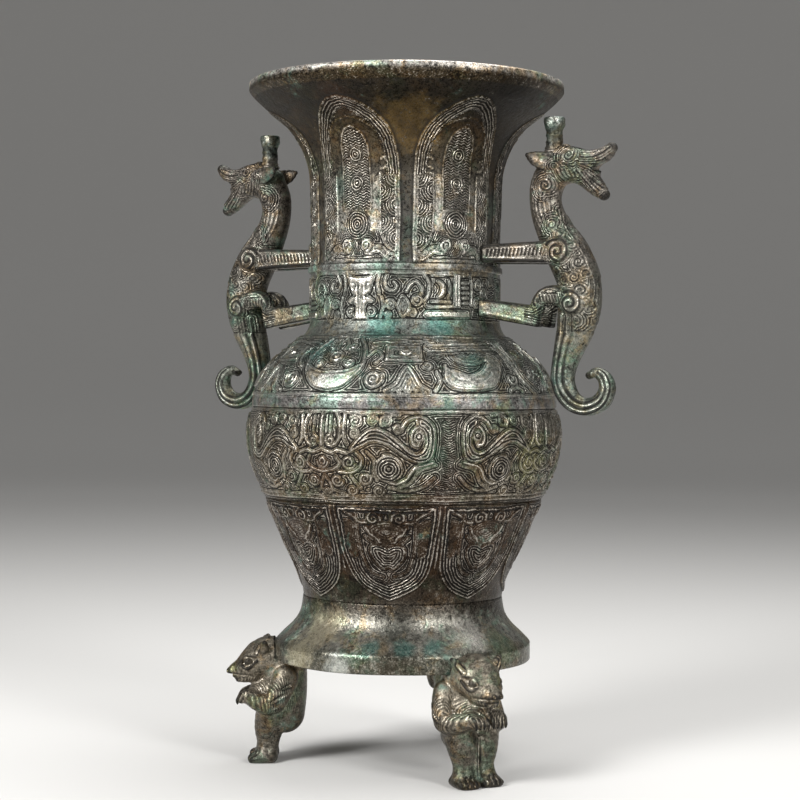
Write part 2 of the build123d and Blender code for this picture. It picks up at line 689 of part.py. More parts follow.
# Handle beast: a climbing creature with open jaws, swept-back ears, two forelegs on the neck and
# two hind legs on the collar. Each paw ends in a tenon through the wall.
root_out, root_up, root_deep, root_wide = BEAST_STATIONS[0]
next_out, next_up, _, _ = BEAST_STATIONS[1]
rump_way = Vector(next_out - root_out, 0, next_up - root_up)
tail_seat = Plane(origin=at_beast(root_out, 0, root_up), x_dir=(0, 1, 0), z_dir=rump_way)
neck_face = NECK_RADIUS + RELIEF + SEAM_GAP
collar_face = collar_radius + SEAM_GAP
horn_seat = at_beast(HORN_OUT, 0, HORN_SEAT_RISE)
with BuildPart() as handle:
    loft_along(BEAST_STATIONS, at_beast)
    loft_along(UPPER_JAW, at_beast)
    loft_along(LOWER_JAW, at_beast)
    for side in (1, -1):
        loft_along(
            EAR_STATIONS,
            lambda out, across, up: at_beast(out, side * (EAR_SPREAD - EAR_FLARE * out), up),
        )
        flank = side * LEG_SPREAD
        fore_shoulder = at_beast(SHOULDER_OUT, flank, FORELEG_RISE)
        fore_paw = (collar_bore, flank, fore_paw_level)
        with BuildSketch(Plane(origin=fore_shoulder, x_dir=(0, 1, 0), z_dir=(-1, 0, 0))) as upper:
            Ellipse(FORELEG_WIDE, FORELEG_DEEP)
        with BuildSketch(Plane(origin=fore_paw, x_dir=(0, 1, 0), z_dir=(-1, 0, 0))) as lower:
            Ellipse(FORELEG_WIDE, FORELEG_DEEP_AT_PAW)
        loft([upper.sketch, lower.sketch])
        hip = at_beast(HIP_OUT, flank, HIP_RISE)
        knee = at_beast(KNEE_OUT, flank, KNEE_RISE)
        heel = at_beast(HEEL_OUT, flank, HEEL_RISE)
        limb(hip, knee, THIGH_RADIUS, KNEE_RADIUS)
        limb(knee, heel, KNEE_RADIUS, HEEL_RADIUS)
        limb(heel, (collar_bore, flank, hind_paw_level), HEEL_RADIUS, PAW_RADIUS)
        for boss_out, boss_up in ((SHOULDER_OUT, FORELEG_RISE), (HIP_OUT, HIP_RISE)):
            boss_middle = at_beast(boss_out, flank, boss_up)
            with BuildSketch(Plane(origin=boss_middle, x_dir=(1, 0, 0), z_dir=(0, side, 0))) as disc:
                Circle(BOSS_RADIUS)
            extrude(disc.sketch, amount=BOSS_PROUD)
    band(0, collar_face, z_shoulder - COLLAR_BASE_RISE, z_ledge, mode=Mode.SUBTRACT)
    band(0, neck_face, z_ledge, z_rim, mode=Mode.SUBTRACT)
    with Locations(*[(neck_face, side * LEG_SPREAD, fore_paw_level) for side in (1, -1)]):
        Cylinder(TENON_RADIUS, 2 * (neck_face - NECK_RADIUS + WALL), rotation=(0, 90, 0))
    with Locations(*[(collar_face, side * LEG_SPREAD, hind_paw_level) for side in (1, -1)]):
        Cylinder(TENON_RADIUS, 2 * (collar_face - collar_radius + WALL), rotation=(0, 90, 0))
    with Locations(horn_seat):
        Cylinder(
            HORN_FOOT_RADIUS + SEAM_GAP,
            HORN_RISE,
            align=(Align.CENTER, Align.CENTER, Align.MIN),
            mode=Mode.SUBTRACT,
        )
        Cylinder(
            HORN_TENON_RADIUS + SEAM_GAP,
            HORN_TENON_LENGTH + SEAM_GAP,
            align=(Align.CENTER, Align.CENTER, Align.MAX),
            mode=Mode.SUBTRACT,
        )
    with Locations(tail_seat):
        Cylinder(
            TAIL_TENON_RADIUS + SEAM_GAP,
            TAIL_TENON_LENGTH + SEAM_GAP,
            align=(Align.CENTER, Align.CENTER, Align.MIN),
            mode=Mode.SUBTRACT,
        )

# Horn: a turned post with a flared cap, pegged into the top of the beast's head.
with BuildPart() as horn:
    with BuildSketch(Plane.XZ):
        with BuildLine():
            Polyline(
                (0, HORN_RISE),
                (0, -HORN_TENON_LENGTH),
                (HORN_TENON_RADIUS, -HORN_TENON_LENGTH),
                (HORN_TENON_RADIUS, 0),
                (HORN_FOOT_RADIUS, 0),
            )
            Spline(
                (HORN_FOOT_RADIUS, 0),
                (HORN_RADIUS, HORN_RISE - 2 * HORN_CAP_RISE),
                (HORN_CAP_RADIUS, HORN_RISE - HORN_CAP_RISE),
            )
            Polyline(
                (HORN_CAP_RADIUS, HORN_RISE - HORN_CAP_RISE),
                (HORN_CAP_RADIUS, HORN_RISE),
                (0, HORN_RISE),
            )
        make_face()
    revolve(axis=Axis.Z)
    fillet(horn.edges().group_by(Axis.Z)[-1], HORN_CAP_ROUND)

# Tail: it hangs from the rump, turns outwards and curls up to its tip.
with BuildPart() as tail:
    tail_root = (root_out, root_up, root_deep - TAIL_STEP, root_wide - TAIL_STEP)
    loft_along([tail_root] + TAIL_STATIONS, at_beast, first_way=-rump_way)
    with Locations(tail_seat):
        Cylinder(TAIL_TENON_RADIUS, TAIL_TENON_LENGTH, align=(Align.CENTER, Align.CENTER, Align.MIN))

for hand, turn in (("right", 0), ("left", 180)):
    with BuildPart() as one_handle:
        add(handle.part, rotation=(0, 0, turn))
    one_handle.part.label = "handle_beast_" + hand
    export_step(one_handle.part, f"parts/handle_beast_{hand}.step")
    with BuildPart() as one_horn:
        with Locations(Location((0, 0, 0), (0, 0, turn))):
            with Locations(horn_seat):
                add(horn.part)
    one_horn.part.label = "horn_" + hand
    export_step(one_horn.part, f"parts/horn_{hand}.step")
    with BuildPart() as one_tail:
        add(tail.part, rotation=(0, 0, turn))
    one_tail.part.label = "tail_" + hand
    export_step(one_tail.part, f"parts/tail_{hand}.step")


def at_bear(out, across, up):
    """A point of a bear that faces +X, in the vessel's frame."""
    return (bear_radius + out, across, up)


# Bear foot: a squatting bear under the foot ring, its head in front of the ring's edge and its
# paws held before its chest. A tenon on its back goes up into the ring.
with BuildPart() as bear:
    loft_along(TORSO_STATIONS, at_bear)
    loft_along(HEAD_STATIONS, at_bear)
    for side in (1, -1):
        loft_along(LEG_STATIONS, lambda out, across, up: at_bear(out, side * LEG_HALF_GAP, up))
        sole_middle = bear_radius + (SOLE_BACK + SOLE_FRONT) / 2
        with BuildSketch(Plane.XY) as sole:
            with Locations((sole_middle, side * LEG_HALF_GAP)):
                RectangleRounded(SOLE_FRONT - SOLE_BACK, 2 * SOLE_HALF_WIDTH, SOLE_ROUND)
        extrude(sole.sketch, amount=SOLE_RISE, taper=SOLE_SLOPE_DEGREES)
        arm = [at_bear(out, side * across, up) for out, across, up in BEAR_ARM]
        limb(arm[0], arm[1], BEAR_ARM_RADIUS, BEAR_ARM_RADIUS)
        limb(arm[1], arm[2], BEAR_WRIST_RADIUS, BEAR_PAW_RADIUS)
        with Locations(at_bear(EAR_OUT, side * EAR_ACROSS, EAR_UP)):
            Sphere(EAR_RADIUS)
    band(0, FOOT_RADIUS + SEAM_GAP, z_foot, z_waist, mode=Mode.SUBTRACT)
    with Locations((bear_radius, 0, z_foot)):
        Cylinder(BEAR_TENON_RADIUS, BEAR_TENON_LENGTH, align=(Align.CENTER, Align.CENTER, Align.MIN))

for place, turn in BEAR_TURN_DEGREES.items():
    with BuildPart() as one_bear:
        add(bear.part, rotation=(0, 0, turn))
    one_bear.part.label = "bear_foot_" + place
    export_step(one_bear.part, f"parts/bear_foot_{place}.step")
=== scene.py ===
import bpy
import numpy as np
import openvdb
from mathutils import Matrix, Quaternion, Vector


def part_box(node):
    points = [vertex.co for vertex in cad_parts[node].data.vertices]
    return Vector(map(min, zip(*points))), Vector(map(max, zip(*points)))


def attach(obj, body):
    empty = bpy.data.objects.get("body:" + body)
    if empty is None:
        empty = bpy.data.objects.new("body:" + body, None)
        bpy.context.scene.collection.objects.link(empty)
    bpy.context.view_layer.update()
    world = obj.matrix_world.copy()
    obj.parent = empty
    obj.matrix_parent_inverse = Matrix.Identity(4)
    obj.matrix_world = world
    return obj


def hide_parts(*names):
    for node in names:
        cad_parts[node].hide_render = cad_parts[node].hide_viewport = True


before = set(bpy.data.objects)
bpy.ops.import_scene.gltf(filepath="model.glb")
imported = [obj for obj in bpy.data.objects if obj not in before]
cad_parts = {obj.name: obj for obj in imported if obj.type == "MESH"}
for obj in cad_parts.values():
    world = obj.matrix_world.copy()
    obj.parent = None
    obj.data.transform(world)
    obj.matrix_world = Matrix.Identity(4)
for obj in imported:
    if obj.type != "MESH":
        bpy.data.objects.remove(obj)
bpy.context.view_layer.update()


# Foot ring. A spreading bronze foot with an upright edge, left plain when it was cast.
# Handling has rubbed its slope bright, a painted highlight band lightens it further, and green sits along the
# edge above the bears.
MM = 0.001
WALL = 3.6
FULL_TURN = 2 * np.pi


class Wire:
    """A socket in one material's node tree, with arithmetic written as Python."""

    def __init__(self, tree, socket=None):
        self.tree = tree
        self.socket = socket

    def make(self, kind, settings=None, sockets=None, output=0):
        """A new node: its settings first, then the values or links of its sockets."""
        node = self.tree.nodes.new(kind)
        for name, value in (settings or {}).items():
            if name == "stops":
                ramp = node.color_ramp.elements
                while len(ramp) < len(value):
                    ramp.new(1.0)
                for stop, (place, colour) in zip(ramp, value):
                    stop.position = place
                    stop.color = (*colour, 1.0)
            else:
                setattr(node, name, value)
        for name, value in (sockets or {}).items():
            if isinstance(value, Wire):
                self.tree.links.new(value.socket, node.inputs[name])
            else:
                node.inputs[name].default_value = value
        return Wire(self.tree, node.outputs[output] if node.outputs else None)

    def maths(self, operation, *values):
        settings = {"operation": operation}
        return self.make("ShaderNodeMath", settings, dict(enumerate(values)))

    def __add__(self, other):
        return self.maths("ADD", self, other)

    __radd__ = __add__

    def __sub__(self, other):
        return self.maths("SUBTRACT", self, other)

    def __rsub__(self, other):
        return self.maths("SUBTRACT", other, self)

    def __mul__(self, other):
        return self.maths("MULTIPLY", self, other)

    __rmul__ = __mul__

    def clip(self, low, high):
        """A smooth step from 0 at the low value to 1 at the high one."""
        settings = {"interpolation_type": "SMOOTHSTEP"}
        sockets = {"Value": self, "From Min": low, "From Max": high, "To Min": 0.0, "To Max": 1.0}
        return self.make("ShaderNodeMapRange", settings, sockets)

    def tint(self, under, over):
        """Colour that goes from one to the other as this value goes from 0 to 1."""
        settings = {"data_type": "RGBA", "clamp_factor": True}
        sockets = {0: self, 6: under, 7: over}
        return self.make("ShaderNodeMix", settings, sockets, output=2)

    def stained(self, share, colour):
        """This colour, multiplied by another where the share is 1."""
        settings = {"data_type": "RGBA", "clamp_factor": True, "blend_type": "MULTIPLY"}
        sockets = {0: share, 6: self, 7: colour}
        return self.make("ShaderNodeMix", settings, sockets, output=2)

    def scaled(self, factor):
        """This colour, made lighter or darker."""
        return self.make("ShaderNodeVectorMath", {"operation": "SCALE"}, {0: self, "Scale": factor})

    def noise(self, scale, detail, rough, warp=0.0):
        """Cloudy noise over the place that this socket gives."""
        sockets = {"Vector": self, "Scale": scale, "Detail": detail, "Roughness": rough, "Distortion": warp}
        return self.make("ShaderNodeTexNoise", {"noise_dimensions": "3D"}, sockets)


def aged_bronze(name, zones, green=0.5, earth=0.5, rubbed=(0.60, 0.56, 0.50), matt=0.37, grit=1.0,
                cloudy=1.0, stains_and_shade=()):
    """Patinated cast bronze. Zones are colours by height, in metres, from the soles up: mostly the patina's,
    with some painted highlight and shade bands. Green and earth give the share of those tints, and grit and
    cloudy
    the strength of small and broad mottling. Stains and shade are local patches, of stain and of painted
    shade:
    turn round the vessel in degrees, distance out, level and reach in millimetres, and colour."""
    material = bpy.data.materials.new(name)
    material.use_nodes = True
    tree = material.node_tree
    tree.nodes.clear()
    ink = Wire(tree)
    place = ink.make("ShaderNodeTexCoord", output=3)
    height = ink.make("ShaderNodeSeparateXYZ", None, {"Vector": place}, output=2)
    cloud = place.noise(15.0, 5.0, 0.62, 0.6)
    patch = place.noise(52.0, 6.0, 0.70, 0.5)
    blot = place.noise(150.0, 5.0, 0.70, 0.3)
    speck = place.noise(460.0, 3.0, 0.70)
    grain = place.noise(1250.0, 2.0, 0.60)

    # Scored lines and the relief's painted shade and wear, carried by the mesh.
    count = ink.make("ShaderNodeAttribute", {"attribute_name": "count"}, output=2)
    thread = ink.make("ShaderNodeAttribute", {"attribute_name": "thread"}, output=2)
    wander = (place.noise(260.0, 2.0, 0.5) - 0.5) * 0.9
    line = ink.maths("SINE", (count + wander) * FULL_TURN) * thread
    relief = ink.make("ShaderNodeAttribute", {"attribute_name": "relief"}, output=2) + line * 0.8
    crumb = (speck - 0.5) * (1.4 * grit) + (grain - 0.5) * (1.5 * grit)
    mottle = (patch - 0.5) * (1.1 * cloudy) + (blot - 0.5) * (1.2 * cloudy)
    # Painted shade: raised relief and crests make the colour lighter and hollows make it darker, mixed with
    # real mottling and speckle.
    light = relief * 0.5 + mottle + crumb

    # Colour by height, mostly patina with some painted highlight and shade bands, lightened and darkened by
    # the painted shade; then brown and cool tints, verdigris and rust.
    top = zones[-1][0]
    stops = [(z / top, colour) for z, colour in zones]
    climb = height * (1.0 / top) + (cloud - 0.5) * 0.03
    skin = ink.make("ShaderNodeValToRGB", {"stops": stops}, {"Fac": climb})
    colour = skin.scaled(light.clip(-0.64, 0.80) * 2.2 + 0.12)
    warm = place.noise(78.0, 6.0, 0.72, 0.5).clip(0.49, 0.61)
    colour = colour.stained(warm * (0.3 + 0.6 * earth), (1.26, 0.95, 0.58, 1))
    cool = (place.noise(41.0, 6.0, 0.70, 0.5) + (blot - 0.5) * 0.3).clip(0.50, 0.62)
    colour = colour.stained(cool * (0.5 + 0.5 * green), (0.66, 1.03, 0.88, 1))
    crust = place.noise(33.0, 7.0, 0.72, 0.6) + (blot - 0.5) * 0.3
    verdigris = crust.clip(0.62 - 0.10 * green, 0.76 - 0.10 * green)
    pale = (place.noise(120.0, 6.0, 0.72, 0.8) + crumb * 0.2).clip(0.40, 0.64)
    bloom = pale.tint((0.022, 0.085, 0.066, 1), (0.200, 0.300, 0.240, 1))
    colour = (verdigris * 0.78).tint(colour, bloom)
    soil = place.noise(64.0, 6.0, 0.74, 0.2) + (speck - 0.5) * 0.25
    rust = soil.clip(0.66 - 0.08 * earth, 0.76 - 0.08 * earth)
    colour = (rust * 0.5).tint(colour, (0.205, 0.150, 0.060, 1))

    # Local stains and painted shade patches, painted shade in the hollows, and rubbed crests with painted
    # glints.
    ragged = (patch - 0.5) * 1.6 + (blot - 0.5) * 1.2
    tone = light.clip(-0.85, 0.95) * 1.5 + 0.3
    # Each patch tints the colour towards its own; most are stains, and some are painted shade.
    for bearing, out, up, reach, patch_colour in stains_and_shade:
        turn = np.radians(bearing)
        spot = (out * MM * np.cos(turn), out * MM * np.sin(turn), up * MM)
        gap = ink.make("ShaderNodeVectorMath", {"operation": "DISTANCE"}, {0: place, 1: spot}, output=1)
        share = (1.0 - gap * (1.0 / (reach * MM)) + ragged).clip(0.0, 0.7)
        film = ink.make("ShaderNodeVectorMath", {"operation": "SCALE"}, {0: patch_colour, "Scale": tone})
        colour = (share * 0.62).tint(colour, film)
    # Painted shade: hollows and the dark side of the relief go towards black, along with dark pits from the
    # speckle.
    low = (crumb * 0.5 - relief).clip(0.03, 0.66)
    colour = (low * 0.92).tint(colour, (0.006, 0.005, 0.004, 1))
    # Rubbed crests show bare metal, and the brightest specks are painted glints.
    wear_and_glints = (relief * 0.8 + mottle * 0.8 + crumb * 0.8).clip(0.16, 0.84)
    colour = (wear_and_glints * 0.74).tint(colour, (*rubbed, 1))

    rough = matt - wear_and_glints * 0.10 + (speck - 0.5) * 0.4 + verdigris * 0.16 + low * 0.2
    metal = (0.62 + wear_and_glints * 0.3 - verdigris * 0.5 - rust * 0.5 - low * 0.4).clip(0.0, 0.9)
    bump = grain * 0.00012 + speck * 0.00028 + blot * 0.0004 + line * 0.00042
    normal = ink.make("ShaderNodeBump", None, {"Strength": 1.0, "Distance": 1.0, "Height": bump})
    sockets = {"Base Color": colour, "Roughness": rough, "Metallic": metal, "Normal": normal}
    sockets["Specular IOR Level"] = 0.22
    bronze = ink.make("ShaderNodeBsdfPrincipled", None, sockets)
    ink.make("ShaderNodeOutputMaterial", None, {"Surface": bronze})
    return material


def flowing(points, step):
    """Evenly spaced points along a smooth line through a few points."""
    knots = np.array(points, float)
    ends = np.vstack([2 * knots[0] - knots[1], knots, 2 * knots[-1] - knots[-2]])
    share = np.linspace(0, 1, 24, endpoint=False)[:, None]
    runs = []
    for a, b, c, d in zip(ends, ends[1:], ends[2:], ends[3:]):
        bend = (c - a) * share + (2 * a - 5 * b + 4 * c - d) * share**2
        runs.append(b + 0.5 * (bend + (3 * b - a - 3 * c + d) * share**3))
    line = np.vstack(runs + [knots[-1:]])
    travel = np.concatenate([[0], np.cumsum(np.linalg.norm(np.diff(line, axis=0), axis=1))])
    even = np.linspace(0, travel[-1], max(2, int(round(travel[-1] / step)) + 1))
    return np.column_stack([np.interp(even, travel, line[:, k]) for k in range(line.shape[1])])


def casting(name, points, quads, material, finish, uv=None):
    """A closed bronze casting from points in millimetres, riding on the vessel."""
    mesh = bpy.data.meshes.new(name)
    mesh.vertices.add(len(points))
    mesh.vertices.foreach_set("co", (np.asarray(points) * MM).ravel())
    mesh.loops.add(quads.size)
    mesh.loops.foreach_set("vertex_index", quads.ravel())
    mesh.polygons.add(len(quads))
    mesh.polygons.foreach_set("loop_start", np.arange(0, quads.size, 4))
    mesh.update(calc_edges=True)
    mesh.shade_smooth()
    for label, values in finish.items():
        mesh.attributes.new(label, "FLOAT", "POINT").data.foreach_set("value", np.ravel(values))
    if uv is not None:
        mesh.uv_layers.new(name="OFBake").data.foreach_set("uv", np.ravel(uv))
    mesh.materials.append(material)
    piece = bpy.data.objects.new(name, mesh)
    bpy.context.collection.objects.link(piece)
    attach(piece, "root")
    return piece


def lattice(rows, columns, run=None):
    """Quads and texture places of a closed sleeve of points. Run is each row's place from 0 to 1."""
    run = np.linspace(0, 1, rows + 1) if run is None else run
    row, column = np.meshgrid(np.arange(rows), np.arange(columns), indexing="ij")
    above = (row + 1) % rows
    beside = (column + 1) % columns
    corners = [(row, column), (row, beside), (above, beside), (above, column)]
    quads = np.stack([r * columns + c for r, c in corners], axis=-1).reshape(-1, 4)
    across = np.stack([column, column + 1, column + 1, column], axis=-1) / columns
    climb = np.stack([run[row], run[row], run[row + 1], run[row + 1]], axis=-1)
    return quads, np.stack([across, climb], axis=-1)


def outward(face):
    """Directions square to a wall's outer face, in radius and level."""
    way = np.gradient(face, axis=0)
    way /= np.linalg.norm(way, axis=1)[:, None]
    return np.column_stack([way[:, 1], -way[:, 0]])


def ring(name, node, face, back, columns, material, relief=None):
    """A cast ring: its outer face from the bottom up, then its inner face from the top down.
    Relief gives the face's lift, shade, line count and line strength by angle and level."""
    loop = np.vstack([face, back])
    rows = len(loop)
    angle = (np.arange(columns) + 0.5) * FULL_TURN / columns
    fields = np.zeros((4, rows, columns))
    if relief:
        for field, made in zip(fields, relief(np.degrees(angle)[None, :], face[:, 1][:, None])):
            field[:len(face)] = made
    lift = fields[0]
    out = np.zeros((rows, 2))
    out[:len(face)] = outward(face)
    radius = loop[:, :1] + out[:, :1] * lift
    height = loop[:, 1:] + out[:, 1:] * lift
    points = np.stack([radius * np.sin(angle), -radius * np.cos(angle), height], axis=-1)
    travel = np.linalg.norm(np.diff(np.vstack([loop, loop[:1]]), axis=0), axis=1)
    run = np.concatenate([[0], np.cumsum(travel)]) / travel.sum()
    quads, uv = lattice(rows, columns, run)
    finish = dict(zip(("relief", "count", "thread"), fields[1:]))
    piece = casting(name, points.reshape(-1, 3), quads, material, finish, uv)
    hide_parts(node)


def level(node, corner=0):
    """Lowest or highest level of a piece, in millimetres above the soles."""
    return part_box(node)[corner][2] / MM


vessel_zones = [
    (0.000, (0.130, 0.115, 0.090)),
    (0.060, (0.075, 0.072, 0.056)),
    (0.068, (0.085, 0.084, 0.066)),
    # Painted highlight: the stops at 0.073 and 0.084 make a lighter band round the foot's slope.
    (0.073, (0.175, 0.170, 0.148)),
    (0.084, (0.150, 0.144, 0.122)),
    (0.090, (0.070, 0.062, 0.050)),
    (0.098, (0.036, 0.027, 0.019)),
    (0.118, (0.033, 0.022, 0.014)),
    (0.146, (0.038, 0.026, 0.017)),
    (0.153, (0.090, 0.076, 0.055)),
    (0.180, (0.112, 0.098, 0.073)),
    (0.197, (0.140, 0.130, 0.108)),
    (0.200, (0.215, 0.205, 0.196)),
    (0.204, (0.205, 0.195, 0.186)),
    (0.208, (0.180, 0.182, 0.162)),
    (0.240, (0.160, 0.168, 0.150)),
    (0.271, (0.170, 0.174, 0.154)),
    (0.2735, (0.225, 0.225, 0.208)),
    (0.2765, (0.225, 0.225, 0.208)),
    (0.279, (0.195, 0.188, 0.168)),
    (0.315, (0.165, 0.155, 0.132)),
    (0.335, (0.110, 0.088, 0.056)),
    # From 0.350 to 0.3768 the flare's underside is its own dark brown, darkened further as painted shade.
    (0.350, (0.064, 0.043, 0.018)),
    (0.366, (0.036, 0.025, 0.011)),
    (0.3768, (0.042, 0.031, 0.018)),
    # The rim's top edge, at 0.3790 and 0.380, is rubbed metal with a painted highlight along it.
    (0.3790, (0.480, 0.450, 0.410)),
    (0.380, (0.480, 0.450, 0.410)),
]
TEAL = (0.045, 0.150, 0.130)
GOLDEN = (0.300, 0.255, 0.150)
# Patches on the foot. The teal, green and golden ones are patina; the dark one at -66° is painted shade that
# dims the key lamp's highlight in the middle of the slope; the dark one at -64° darkens the edge where it
# faces the camera, and the pale ones at -107°, -113°, -90° and -25° lighten the slope and edge on both sides.
foot_stains_and_shade = [
    (-107, 61.5, 78, 19, (0.480, 0.420, 0.280)),
    (-113, 71.5, 65, 15, (0.420, 0.380, 0.260)),
    (-90, 71.5, 61, 10, (0.520, 0.540, 0.500)),
    # Painted shade: dims the key lamp's highlight in the middle of the slope.
    (-66, 61.0, 79, 13, (0.050, 0.056, 0.046)),
    (-25, 62.0, 79, 14, (0.420, 0.400, 0.360)),
    (-64, 71.5, 61, 20, (0.045, 0.035, 0.022)),
    (-75, 67.5, 72.6, 7, TEAL),
    (-60, 67.5, 72.6, 8, TEAL),
    (-46, 67.5, 72.6, 8, TEAL),
    (-9, 70.0, 73, 15, (0.080, 0.125, 0.070)),
    (30, 64.0, 76, 18, GOLDEN),
    (95, 71.0, 66, 15, TEAL),
    (160, 66.0, 74, 17, (0.080, 0.125, 0.070)),
]
plain_bronze = aged_bronze("plain_bronze", vessel_zones, green=0.7, matt=0.29, cloudy=0.6, stains_and_shade=foot_stains_and_shade)
foot_low = level("foot_ring")
waist = level("lower_belly")
foot_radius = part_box("foot_ring")[1][0] / MM
waist_radius = 55.7
foot_edge = [(foot_radius, foot_low + 0.6), (foot_radius, foot_low + 9.4)]
foot_slope = [(foot_radius - 0.7, foot_low + 10.4), (67.0, 72.8), (61.2, 78.4), (57.4, 84.6),
              (waist_radius, waist)]
foot_face = np.vstack([[(foot_radius - 0.6, foot_low)], flowing(foot_edge, 1.2), flowing(foot_slope, 1.0)])
foot_back = np.vstack([
    flowing([(waist_radius - WALL, waist), (53.6, 84.0), (57.0, 77.4), (60.0, 69.5)], 3.0),
    [(60.0, foot_low + 0.6), (60.6, foot_low)],
])


def cast_skin(angle, height):
    """Shallow unevenness of a plain cast wall, and its polish below the waist."""
    turn = np.radians(angle)
    swell = 0.16 * np.sin(3 * turn + 0.05 * height) + 0.10 * np.sin(7 * turn - 0.09 * height)
    polish = np.clip((waist - 5.0 - height) / 8.0, 0, 1)
    return swell + 0 * height, 0.24 * polish + 0 * swell


ring("foot_ring_cast", "foot_ring", foot_face, foot_back, 360, plain_bronze, cast_skin)


# Floor plate. A plain bronze disc that lies on a ledge inside the foot, under the belly.
# Only its upper face can be seen, deep inside the mouth, where it is dark and dull.
inner_zones = [(0.0, (0.040, 0.034, 0.024)), (0.380, (0.046, 0.038, 0.026))]
inner_bronze = aged_bronze("inner_bronze", inner_zones, green=0.2)
floor_low, floor_high = level("floor_plate"), level("floor_plate", 1)
floor_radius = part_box("floor_plate")[1][0] / MM
disc_face = np.array([(floor_radius - 0.4, floor_low), (floor_radius, floor_low + 0.4),
                      (floor_radius, floor_high - 0.4), (floor_radius - 0.4, floor_high)])
disc_back = np.array([(36.0, floor_high - 0.1), (18.0, floor_high - 0.3), (0.4, floor_high - 0.4),
                      (0.4, floor_low), (24.0, floor_low)])
ring("floor_plate_cast", "floor_plate", disc_face, disc_back, 120, inner_bronze)


